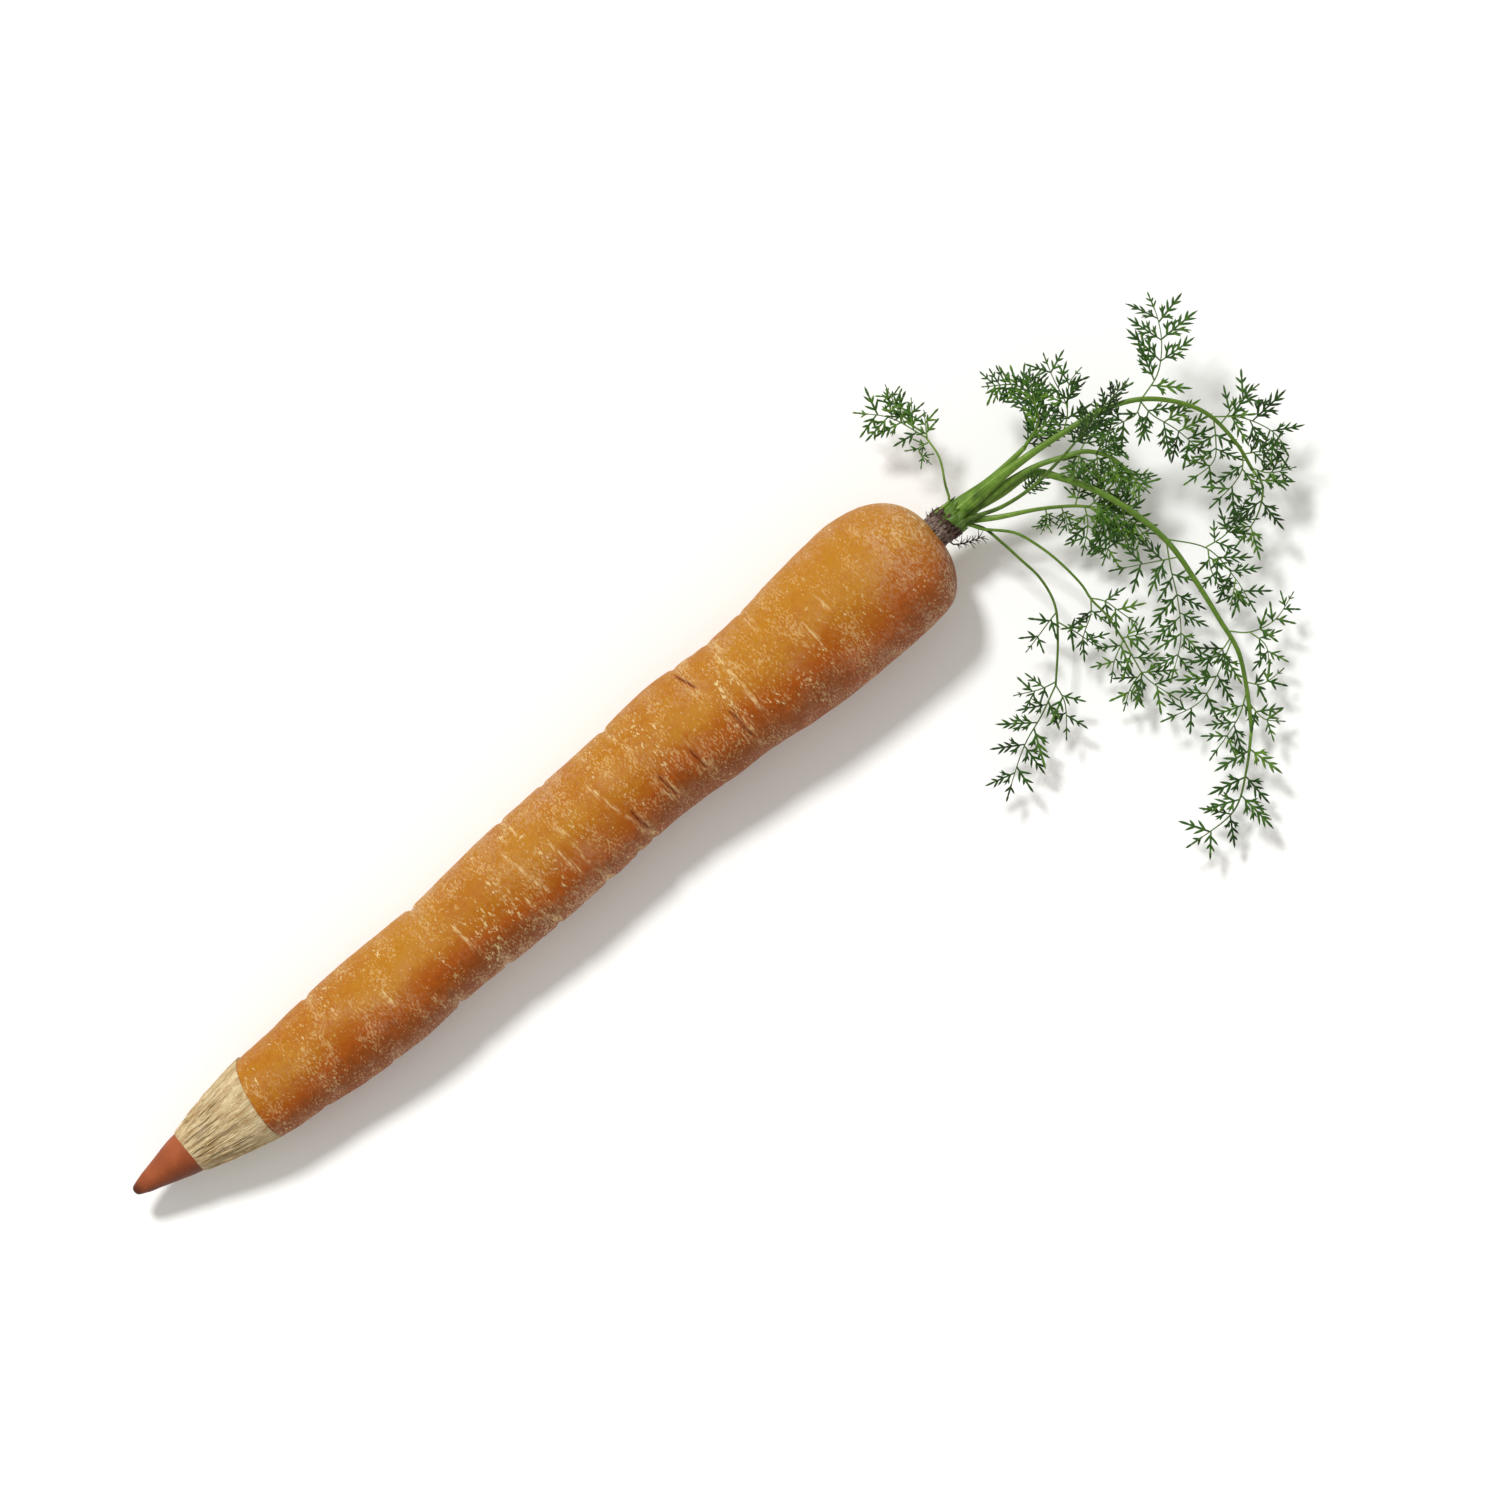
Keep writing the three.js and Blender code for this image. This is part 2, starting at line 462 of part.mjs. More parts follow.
function coreSolid() {
  const flank = CORE_FLANK.map((s) => [halfWidth(s), s]);
  const shaft = [[CORE_RADIUS, CORE_SHOULDER], [CORE_RADIUS, CORE_END], [0, CORE_END]];
  const profile = [...CORE_TIP, ...flank, ...shaft];
  return laidDown(solid(turned(profile, CORE_SIDES)));
}

// A point on the crown's end, in the fronds' frame.
function seatPoint([sideways, up], along) {
  const point = new THREE.Vector3(CROWN_END - CROWN_AT + along, sideways, axisHeight(CROWN_AT) + up);
  return point.applyAxisAngle(UP, TOP_ANGLE);
}

// A point of a frond, which its stiff stalk holds up the more the lower it is laid out.
function frondPoint([right, up, height]) {
  const lift = HOLD_UP * Math.max(0, 1 - height / HELD_BELOW);
  return new THREE.Vector3(right, up, height + lift);
}

// The middle of a stalk or rib.
function middleLine(points) {
  return new THREE.CatmullRomCurve3(points, false, "centripetal");
}

// A stalk's middle line, straight out of its seat and then along its route.
function stalkLine({ seat, route }) {
  const rooted = [-SEAT_DEPTH, -SEAT_DEPTH / 2, 0, SEAT_RUN].map((along) => seatPoint(seat, along));
  return middleLine([...rooted, ...route.map(frondPoint)]);
}

// Directions at a share of a middle line: along it, to its left, and up, rolled about it.
function directions(line, share, roll = 0) {
  const along = line.getTangentAt(share);
  const left = new THREE.Vector3().crossVectors(UP, along).normalize().applyAxisAngle(along, roll);
  const up = new THREE.Vector3().crossVectors(along, left);
  return { along, left, up };
}

// A round stalk that tapers along its middle line.
function stalkSolid(line, [base, tip]) {
  const corners = [];
  for (let i = 0; i < STALK_SIDES; i += 1) {
    corners.push(new THREE.Vector2(Math.cos(i / STALK_SIDES * TAU), Math.sin(i / STALK_SIDES * TAU)));
  }
  const steps = Math.ceil(line.getLength() / STALK_STEP);
  const bar = new THREE.ExtrudeGeometry(new THREE.Shape(corners), { depth: 1, steps, bevelEnabled: false });
  return solid(reshape(bar, (corner) => {
    const { x, y, z: share } = corner;
    const radius = THREE.MathUtils.lerp(base, tip, share);
    const { left, up } = directions(line, share);
    corner.copy(line.getPointAt(share)).addScaledVector(left, x * radius).addScaledVector(up, y * radius);
  }));
}

// The bend of a line at a share of it, per mm, positive to the left.
function bendAt(line, share) {
  const before = line.getTangentAt(Math.max(0, share - BEND_STEP));
  const after = line.getTangentAt(Math.min(1, share + BEND_STEP));
  return new THREE.Vector3().crossVectors(before, after).z / (2 * BEND_STEP * line.getLength());
}

// One leaflet of a flat feather: its corners from the rear of its root to the front, on the left side.
function leaflet(at, half, length) {
  const forward = new THREE.Vector2(Math.cos(LEAF_ANGLE), Math.sin(LEAF_ANGLE));
  const rear = new THREE.Vector2(-forward.y, forward.x);
  const foot = new THREE.Vector2(at, half);
  const place = (out, back) => {
    const reach = foot.clone().addScaledVector(forward, out * length);
    return reach.addScaledVector(rear, back * length);
  };
  const [leastRoot, rootShare] = LEAF_ROOT;
  const root = Math.max(leastRoot, rootShare * length);
  const lobes = length > LOBED_FROM ? LOBE.map(([out, back]) => place(out, back)) : [];
  return [new THREE.Vector2(at - root, half), ...lobes, place(1, 0), new THREE.Vector2(at + root, half)];
}

// A flat feather's outline: a slim rib with pairs of leaflets, cut to the rib.
function featherShape(line, leaf, bare) {
  const length = line.getLength();
  const step = PAIR_STEP * Math.max(LEAST_PAIR_SHARE, leaf / FULL_LEAF);
  const pairs = Math.max(1, Math.floor(length * (1 - bare) / step - END_PAIRS));
  const [swellStart, swellRun] = FEATHER_SWELL;
  const [leastLeaf, leafSpread] = LEAF_SPREAD;
  const sides = { left: [], right: [] };
  for (let i = 0; i < pairs; i += 1) {
    const share = bare + (1 - bare) * (i + 0.5) / (pairs + END_PAIRS);
    const half = THREE.MathUtils.lerp(...RIB_HALF, share);
    const bend = bendAt(line, share);
    const wave = Math.sin(Math.PI * (swellStart + swellRun * (i + 0.5) / pairs));
    const full = leaf * (1 + wave) / 2;
    for (const [side, inside] of [["left", bend], ["right", -bend]]) {
      const drawn = full * (leastLeaf + leafSpread * THREE.MathUtils.seededRandom());
      const longest = inside > 0 ? Math.min(drawn, BEND_SHARE / inside) : drawn;
      sides[side].push(leaflet(share * length, half, longest));
    }
  }
  const mirrored = sides.right.flat().map(({ x, y }) => new THREE.Vector2(x, -y));
  const foot = [new THREE.Vector2(0, RIB_HALF[0]), new THREE.Vector2(0, -RIB_HALF[0])];
  const tip = new THREE.Vector2(length, 0);
  return new THREE.Shape([foot[1], ...mirrored, tip, ...sides.left.flat().reverse(), foot[0]]);
}

// A thin arched feather that follows its middle line.
function featherSolid(line, leaf, bare, roll) {
  const shape = featherShape(line, leaf, bare);
  const blade = new THREE.ExtrudeGeometry(shape, { depth: BLADE, bevelEnabled: false });
  const length = line.getLength();
  return solid(reshape(blade, (corner) => {
    const { x, y, z } = corner;
    const share = THREE.MathUtils.clamp((x - Math.abs(y) / Math.tan(LEAF_ANGLE)) / length, 0, 1);
    const { along, left, up } = directions(line, share, roll);
    corner.copy(line.getPointAt(share)).addScaledVector(along, x - share * length);
    corner.addScaledVector(left, y).addScaledVector(up, z - BLADE / 2 - LEAF_DROOP * y * y);
  }));
}

// The point nearest to a given one on a set of middle lines.
function nearestOn(lines, point) {
  const candidates = lines.flatMap((line) => line.getSpacedPoints(LINE_POINTS));
  return candidates.reduce((best, next) => (next.distanceTo(point) < best.distanceTo(point) ? next : best));
}

// A frond: its stalk and the sprays that grow on it, in one solid.
function frondSolid(frond) {
  const stem = stalkLine(frond);
  const lines = [stem];
  let whole = stalkSolid(stem, frond.radii);
  frond.sprays.forEach(({ leaf, points, bare = BARE, roll }, i) => {
    const [start, ...rest] = points.map(frondPoint);
    const line = middleLine([nearestOn(lines, start), ...rest]);
    const tilt = roll === undefined ? SPRAY_ROLL * (i % 2 ? 1 : -1) : THREE.MathUtils.degToRad(roll);
    whole = whole.add(featherSolid(line, leaf, bare, tilt));
    lines.push(line);
  });
  return whole;
}

// The hole in the crown that a stalk stands in, on the straight axis.
function seatHole({ seat: [sideways, up], radii: [radius] }) {
  const wide = radius + SEAT_GAP;
  const deep = SEAT_DEPTH + GAP;
  const hole = new THREE.CylinderGeometry(wide, wide, deep + SEAT_OVERCUT, SEAT_SIDES);
  hole.rotateZ(-Math.PI / 2).translate(CROWN_END + (SEAT_OVERCUT - deep) / 2, sideways, up);
  return solid(hole);
}

// A stiff bristle on the crown's side.
function bristle(i) {
  const turn = i / BRISTLES * TAU + BRISTLE_SCATTER * THREE.MathUtils.seededRandom();
  const [leastLean, leanSpread] = BRISTLE_LEAN;
  const [firstFoot, footSpread] = BRISTLE_BAND;
  const spike = new THREE.ConeGeometry(BRISTLE_RADIUS, BRISTLE_LENGTH, BRISTLE_SIDES);
  spike.translate(0, BRISTLE_LENGTH / 2, 0);
  spike.rotateZ(leastLean + leanSpread * THREE.MathUtils.seededRandom());
  spike.translate(CROWN_RADIUS - BRISTLE_SINK, 0, 0).rotateZ(-Math.PI / 2).rotateX(turn);
  return solid(spike.translate(CROWN_END + firstFoot + footSpread * THREE.MathUtils.seededRandom(), 0, 0));
}

function crownSolid() {
  const flank = COLLAR.map(([flare, s]) => [CROWN_RADIUS + flare, s]);
  const profile = [[0, CROWN_START], ...flank, [0, CROWN_END]];
  const collar = reshape(turned(profile, CROWN_SIDES), (corner) => {
    if (corner.x > CROWN_START + COLLAR_RUN && corner.x < CROWN_END) {
      swell(corner, (s, angle) => CROWN_RIDGE_HEIGHT * Math.sin(CROWN_RIDGES * angle + s));
    }
  });
  let whole = solid(collar);
  for (let i = 0; i < BRISTLES; i += 1) {
    whole = whole.add(bristle(i));
  }
  Object.values(FRONDS).forEach((frond) => {
    whole = whole.subtract(seatHole(frond));
  });
  const line = middleLine(SPRIG.points.map((point) => new THREE.Vector3(...point)));
  const sprig = geometryOf(featherSolid(line, SPRIG.leaf, SPRIG.bare, 0)).rotateZ(-TOP_ANGLE);
  sprig.translate(CROWN_AT - REST_AT, sway(CROWN_AT), 0);
  return laidDown(whole).add(solid(sprig));
}

// A named piece of the object.
function piece(name, shape, finish) {
  const mesh = new THREE.Mesh(geometryOf(rounded(shape)), new THREE.MeshStandardMaterial(finish));
  mesh.name = name;
  return mesh;
}

THREE.MathUtils.seededRandom(SEED);
const carrot = new THREE.Group();
carrot.add(piece("root", rootSolid(), SKIN));
carrot.add(piece("wood_point", woodSolid(), WOOD));
carrot.add(piece("colour_core", coreSolid(), CORE));
carrot.add(piece("crown", crownSolid(), BARK));

const top = new THREE.Group();
top.position.set(CROWN_AT - REST_AT, sway(CROWN_AT), 0);
top.rotation.z = -TOP_ANGLE;
Object.entries(FRONDS).forEach(([name, frond]) => {
  top.add(piece(name, frondSolid(frond), frond.finish));
});
carrot.add(top);

export default carrot;
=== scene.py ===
"""A carrot sharpened to a coloured pencil's point, on a pale floor under soft studio light.

Shapes are modelled in millimetres and become metres when a piece is delivered.
A distance called s runs along the root from the tip of the point.
Angles round the root start at its +Y side and pass over the top.
"""

import logging
import math
import random
from bisect import bisect_right
from collections.abc import Callable, Sequence
from dataclasses import dataclass, field
from enum import Enum

import bmesh
import bpy
from bmesh.types import BMEdge, BMesh, BMVert
from bpy.types import ID, Material, Mesh, Node, NodeTree, Object
from bpy.types import NodeSocket as Socket
from mathutils import Matrix, Vector, noise

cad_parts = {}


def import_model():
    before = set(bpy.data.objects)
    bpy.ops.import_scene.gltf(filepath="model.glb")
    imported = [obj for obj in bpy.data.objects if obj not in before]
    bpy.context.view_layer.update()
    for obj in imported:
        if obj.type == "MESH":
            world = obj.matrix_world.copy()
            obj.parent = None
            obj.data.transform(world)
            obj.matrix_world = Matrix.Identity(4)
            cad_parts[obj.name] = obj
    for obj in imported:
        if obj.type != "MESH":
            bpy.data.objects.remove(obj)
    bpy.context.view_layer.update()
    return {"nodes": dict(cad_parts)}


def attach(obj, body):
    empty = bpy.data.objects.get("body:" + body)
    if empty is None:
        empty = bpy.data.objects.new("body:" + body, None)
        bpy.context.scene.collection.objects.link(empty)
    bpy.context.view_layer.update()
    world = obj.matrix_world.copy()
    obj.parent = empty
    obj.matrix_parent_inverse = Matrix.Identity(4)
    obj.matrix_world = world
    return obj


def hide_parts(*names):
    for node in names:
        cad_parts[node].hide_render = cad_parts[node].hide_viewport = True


LOG = logging.getLogger("carrot")
MM = 0.001
TAU = 2 * math.pi
GOLDEN_SHARE = 0.618
UP = Vector((0, 0, 1))
# The top of the root, in degrees round it
TOP = 90
# Distances in millimetres at which corners are one, lie on a cut, or lie on the axis
WELD = 1e-4
ON_CUT = 1e-5
ON_AXIS = 1e-6
# Where flat noise is read, away from the lattice on which all noise is 0
NOISE_LAYER = 0.5
NEEDLE_SIDES = 5
LEAST_RIDGE = 0.3
BODY = "root"

Point = tuple[float, float, float]
Span = tuple[float, float]
Triple = tuple[float, float, float]
Row = tuple[float, float, float, float]
Inputs = dict[str | int, object]


def linear(code: str) -> Row:
    """A screen colour such as "#d9922c" as the linear colour that a shader takes.

    Args:
        code: The colour, with two hex digits for each of red, green and blue.

    Returns:
        Linear red, green and blue, and an alpha of 1.
    """
    shares = [int(code[i:i + 2], 16) / 255 for i in (1, 3, 5)]
    light = [v / 12.92 if v <= 0.04045 else ((v + 0.055) / 1.055) ** 2.4 for v in shares]
    return (*light, 1.0)


def bell(distance: float, width: float) -> float:
    """A smooth peak of 1 at no distance, falling away over the given width."""
    return math.exp(-(distance / width) ** 2)


def clamp(value: float) -> float:
    """The value, held between 0 and 1."""
    return min(1.0, max(0.0, value))


def turn_between(angle: float, middle: float) -> float:
    """The smallest turn between two angles, in degrees, without its sign."""
    return abs((angle - middle + 180) % 360 - 180)


def around(s: float, angle: float, radius: float) -> Vector:
    """The place at an angle and a radius round the straight axis."""
    return Vector((s, radius * math.cos(angle), radius * math.sin(angle)))


def angle_of(place: Vector) -> float:
    """The angle of a place round the straight axis, in radians."""
    return math.atan2(place.z, place.y)


@dataclass(frozen=True)
class Stations:
    """Values given at places along a line, read smoothly between them."""

    points: tuple[Span, ...]

    def slope(self, i: int) -> float:
        """The slope through the neighbours of a station."""
        (x0, y0), (x1, y1) = self.points[max(i - 1, 0)], self.points[min(i + 1, len(self.points) - 1)]
        return (y1 - y0) / (x1 - x0)

    def at(self, place: float) -> float:
        """Reads the value at a place.

        Args:
            place: Where to read, in the stations' own units.

        Returns:
            The value there, held at the ends beyond the first and last stations.
        """
        first, last = self.points[0], self.points[-1]
        if place <= first[0]:
            return first[1]
        if place >= last[0]:
            return last[1]
        i = bisect_right([x for x, _ in self.points], place) - 1
        (x0, y0), (x1, y1) = self.points[i], self.points[i + 1]
        run = x1 - x0
        t = (place - x0) / run
        bend0, bend1 = self.slope(i) * run, self.slope(i + 1) * run
        rise = y1 - y0
        return y0 + t * (bend0 + t * (3 * rise - 2 * bend0 - bend1 + t * (bend0 + bend1 - 2 * rise)))


@dataclass(frozen=True)
class RootLine:
    """Where the root lies: its width, its sway and the height of its axis."""

    rest_at: float = 187.0
    head_start: float = 190.0
    head_end: float = 207.6
    head_radius: float = 14.5
    head_squareness: float = 0.8
    axis_slope: float = 0.0262
    flat_depth: float = 0.6
    crown_at: float = 208.4
    half_widths: Stations = Stations((
        (4, 2.2), (12, 4.45), (24, 7.6), (32, 9.05), (40, 9.55), (56, 10.7), (66, 11.05), (80, 10.85),
        (104, 11.6), (120, 11.8), (132, 11.7), (146, 12.35), (156, 12.35), (166, 13.3), (176, 14.05),
        (190, 14.5),
    ))
    sways: Stations = Stations((
        (0, 0), (30, -1.4), (70, -1.9), (120, 0), (140, 0.6), (165, -0.4), (190, 0.7), (212, 0.4),
    ))

    def radius(self, s: float) -> float:
        """Half the root's width at a distance from the tip."""
        return self.half_widths.at(s)

    def axis(self, s: float) -> Vector:
        """The point of the root's axis at a distance from the tip."""
        height = self.head_radius - self.flat_depth - self.axis_slope * (self.head_start - s)
        return Vector((s - self.rest_at, self.sways.at(s), height))

    def lay_down(self, bm: BMesh) -> None:
        """Moves a shape from the straight axis to where the root lies on the floor.

        Args:
            bm: The shape.
        """
        for vert in bm.verts:
            s, across, rise = vert.co
            vert.co = self.axis(s) + Vector((0, across, rise))
            vert.co.z = max(0.0, vert.co.z)

    def crown_frame(self) -> Matrix:
        """The fronds' own frame, on the floor under the crown and turned as the picture is."""
        at = self.axis(self.crown_at)
        return Matrix.Translation((at.x, at.y, 0)) @ Matrix.Rotation(-Studio.TURN, 4, "Z")


class Centreline:
    """A smooth curve through a few points, read by the share of its length."""

    STEPS = 14
    LEAST_ROOT = 1e-4
    DIRECTION_REACH = 0.4
    BEND_STEP = 0.04

    def __init__(self, points: Sequence[Vector]) -> None:
        """Draws the curve.

        Args:
            points: The points that it passes through, in order.
        """
        ends = [2 * points[0] - points[1], *points, 2 * points[-1] - points[-2]]
        self.spots: list[Vector] = [points[0].copy()]
        for p0, p1, p2, p3 in zip(ends, ends[1:], ends[2:], ends[3:]):
            chords = ((p0, p1), (p1, p2), (p2, p3))
            d0, d1, d2 = (max((b - a).length ** 0.5, self.LEAST_ROOT) for a, b in chords)
            start = ((p1 - p0) / d0 - (p2 - p0) / (d0 + d1) + (p2 - p1) / d1) * d1
            end = ((p2 - p1) / d1 - (p3 - p1) / (d1 + d2) + (p3 - p2) / d2) * d1
            for i in range(1, self.STEPS + 1):
                t = i / self.STEPS
                square, cube = t * t, t * t * t
                spot = p1 * (1 - 3 * square + 2 * cube) + p2 * (3 * square - 2 * cube)
                self.spots.append(spot + start * (t - 2 * square + cube) + end * (cube - square))
        self.marks = [0.0]
        for a, b in zip(self.spots, self.spots[1:]):
            self.marks.append(self.marks[-1] + (b - a).length)
        self.length = self.marks[-1]

    def point(self, share: float) -> Vector:
        """Reads a point of the curve.

        Args:
            share: The place, as a share of the curve's length.

        Returns:
            The point.
        """
        reach = clamp(share) * self.length
        i = min(bisect_right(self.marks, reach), len(self.marks) - 1)
        run = self.marks[i] - self.marks[i - 1]
        return self.spots[i - 1].lerp(self.spots[i], (reach - self.marks[i - 1]) / run)

    def along(self, share: float) -> Vector:
        """The curve's direction at a share of its length."""
        step = self.DIRECTION_REACH / self.length
        return (self.point(share + step) - self.point(share - step)).normalized()

    def frame(self, share: float, roll: float = 0.0, width: float = 1.0, height: float = 1.0) -> Matrix:
        """A frame on the curve: X to its left, Y up and Z along it.

        Args:
            share: The place, as a share of the curve's length.
            roll: A turn about the curve, in radians.
            width: The length of the frame's X.
            height: The length of the frame's Y.

        Returns:
            The frame as a matrix.
        """
        along = self.along(share)
        left = UP.cross(along).normalized()
        left.rotate(Matrix.Rotation(roll, 3, along))
        columns = Matrix((left * width, along.cross(left) * height, along)).transposed()
        return Matrix.Translation(self.point(share)) @ columns.to_4x4()

    def bend(self, share: float) -> float:
        """How sharply the curve bends to the left at a share of its length, per millimetre."""
        step = self.BEND_STEP
        return self.along(share - step).cross(self.along(share + step)).z / (2 * step * self.length)


def spun(start: float, end: float, rings: int, sides: int, rule: Callable[[float], Span]) -> BMesh:
    """Spins a profile round the straight axis.

    Args:
        start: The rule's first place.
        end: The rule's last place.
        rings: The number of stretches of the profile.
        sides: The number of stretches round the axis.
        rule: Gives s and the radius at a place between start and end.

    Returns:
        A bmesh whose seam and poles are closed.
    """
    bm = bmesh.new()
    edge = bm.edges.new((bm.verts.new((start, 0, 0)), bm.verts.new((end, 0, 0))))
    bmesh.ops.subdivide_edges(bm, edges=[edge], cuts=rings - 1)
    for vert in bm.verts:
        vert.co.x, vert.co.y = rule(vert.co.x)
    bmesh.ops.spin(
        bm, geom=bm.verts[:] + bm.edges[:], cent=(0, 0, 0), axis=(1, 0, 0), dvec=(0, 0, 0),
        angle=TAU, steps=sides, use_merge=True,
    )
    bmesh.ops.remove_doubles(bm, verts=bm.verts, dist=WELD)
    return bm


def swell(bm: BMesh, rule: Callable[[float, float], float]) -> None:
    """Moves each corner of a spun shape out from the axis.

    Args:
        bm: The shape, round the straight axis.
        rule: Gives the move at a place, from s and the angle in radians.
    """
    for vert in bm.verts:
        radius = math.hypot(vert.co.y, vert.co.z)
        if radius > ON_AXIS:
            grown = 1 + rule(vert.co.x, angle_of(vert.co)) / radius
            vert.co.y *= grown
            vert.co.z *= grown


def sweep(
    bm: BMesh, frames: Sequence[Matrix], sides: int, groove: float = 0.0, mark: str = "",
) -> list[BMVert]:
    """Draws a closed tube through a row of frames.

    Args:
        bm: The bmesh that gets the tube.
        frames: Each places and sizes one ring, which lies in its XY plane.
        sides: The corners of a ring.
        groove: How far every second corner is drawn in, as a share of the radius.
        mark: A float layer that gets up to 1 on the outer corners and 0 in the grooves.

    Returns:
        The tube's corners.
    """
    ring = bmesh.ops.create_circle(bm, cap_ends=True, segments=sides, radius=1.0)["verts"]
    layer = bm.verts.layers.float.get(mark) if mark else None
    for i, vert in enumerate(ring):
        vert.co *= 1 - groove * (i % 2)
        if layer:
            vert[layer] = (1 - i % 2) * (LEAST_RIDGE + (1 - LEAST_RIDGE) * (i * GOLDEN_SHARE % 1))
    bmesh.ops.transform(bm, matrix=frames[0], verts=ring)
    edges = list({edge for vert in ring for edge in vert.link_edges})
    made = list(ring)
    for before, after in zip(frames, frames[1:]):
        grown = bmesh.ops.extrude_edge_only(bm, edges=edges)["geom"]
        ring = [item for item in grown if isinstance(item, BMVert)]
        fresh = set(ring)
        edges = [item for item in grown if isinstance(item, BMEdge) and set(item.verts) <= fresh]
        bmesh.ops.transform(bm, matrix=after @ before.inverted(), verts=ring)
        made += ring
    bmesh.ops.edgeloop_fill(bm, edges=edges)
    return made


def needle(
    bm: BMesh, points: Sequence[Vector], shape: Sequence[Span], thick: float, broad: float = 1.0,
) -> list[BMVert]:
    """Draws one thin needle.

    Args:
        bm: The bmesh that gets it.
        points: The points that its middle line passes through.
        shape: Places along it, as shares of its length, each with its share of the thickness there.
        thick: Its greatest radius.
        broad: How much wider than high it is.

    Returns:
        The needle's corners.
    """
    route = Centreline(points)
    frames = [route.frame(at, 0.0, thick * broad * part, thick * part) for at, part in shape]
    return sweep(bm, frames, NEEDLE_SIDES)


# A blade's width along it, as a share of the greatest, and the rise of its edges from its keel
BLADE_OUTLINE = Stations(((0, 0.7), (0.4, 1.0), (0.72, 0.8), (1, 0)))
BLADE_RISE = 0.35
BLADE_WELD = 1e-3


def blade(
    bm: BMesh, place: Matrix, length: float, width: float, droop: float = 0.0,
    cells: tuple[int, int] = (3, 2),
) -> list[BMVert]:
    """Cuts one pointed blade, from a small grid.

    Args:
        bm: The bmesh that gets the blade, which has no thickness yet.
        place: Where its root goes, pointing along X.
        length: Its length.
        width: Its greatest width.
        droop: The fall of its tip.
        cells: The grid's cells along and across the blade. An even number across gives it a keel.

    Returns:
        The blade's corners.
    """
    verts = bmesh.ops.create_grid(bm, x_segments=cells[0], y_segments=cells[1], size=0.5)["verts"]
    for vert in verts:
        share = vert.co.x + 0.5
        across = vert.co.y * width * BLADE_OUTLINE.at(share)
        vert.co = (share * length, across, BLADE_RISE * abs(across) - droop * share * share)
    bmesh.ops.transform(bm, matrix=place, verts=verts)
    bmesh.ops.remove_doubles(bm, verts=verts, dist=BLADE_WELD)
    return [vert for vert in verts if vert.is_valid]


def blank(*keys: str) -> BMesh:
    """Starts a shape.

    Args:
        keys: Names for the numbers that its corners hold.

    Returns:
        An empty bmesh.
    """
    bm = bmesh.new()
    for key in keys:
        bm.verts.layers.float.new(key)
    return bm


def mesh_of(bm: BMesh, name: str) -> Mesh:
    """Turns a shape into a mesh.

    Args:
        bm: The shape. It is used up.
        name: The mesh's name.

    Returns:
        The mesh.
    """
    mesh = bpy.data.meshes.new(name)
    bm.to_mesh(mesh)
    bm.free()
    return mesh


def link(name: str, data: ID) -> Object:
    """Adds an object to the scene.

    Args:
        name: The object's name.
        data: Its mesh, light or camera.

    Returns:
        The object.
    """
    made = bpy.data.objects.new(name, data)
    bpy.context.scene.collection.objects.link(made)
    return made


def join(bm: BMesh, other: BMesh) -> None:
    """Adds another shape to a shape.

    Args:
        bm: The shape that grows.
        other: The shape that is added. It is used up.
    """
    mesh = mesh_of(other, "joined")
    bm.from_mesh(mesh)
    bpy.data.meshes.remove(mesh)


def close_holes(bm: BMesh) -> None:
    """Closes the open ends of a shape."""
    bmesh.ops.holes_fill(bm, edges=[edge for edge in bm.edges if edge.is_boundary])


def deliver(bm: BMesh, name: str, finishes: Sequence[Material], node: str) -> None:
    """Turns a modelled shape into a piece of the object, in metres, in place of its plain solid.

    Args:
        bm: The shape, in millimetres, where it belongs. It is used up.
        name: The piece's name.
        finishes: Its materials, in the order of its faces' material numbers.
        node: The solid that the piece stands for.
    """
    bmesh.ops.recalc_face_normals(bm, faces=bm.faces)
    bmesh.ops.scale(bm, vec=(MM, MM, MM), verts=bm.verts)
    mesh = mesh_of(bm, name)
    mesh.shade_smooth()
    for finish in finishes:
        mesh.materials.append(finish)
    piece = link(name, mesh)
    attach(piece, BODY)
    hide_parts(node)
    mesh.calc_loop_triangles()
    LOG.info("%s: %d triangles, stands for %s", name, len(mesh.loop_triangles), node)


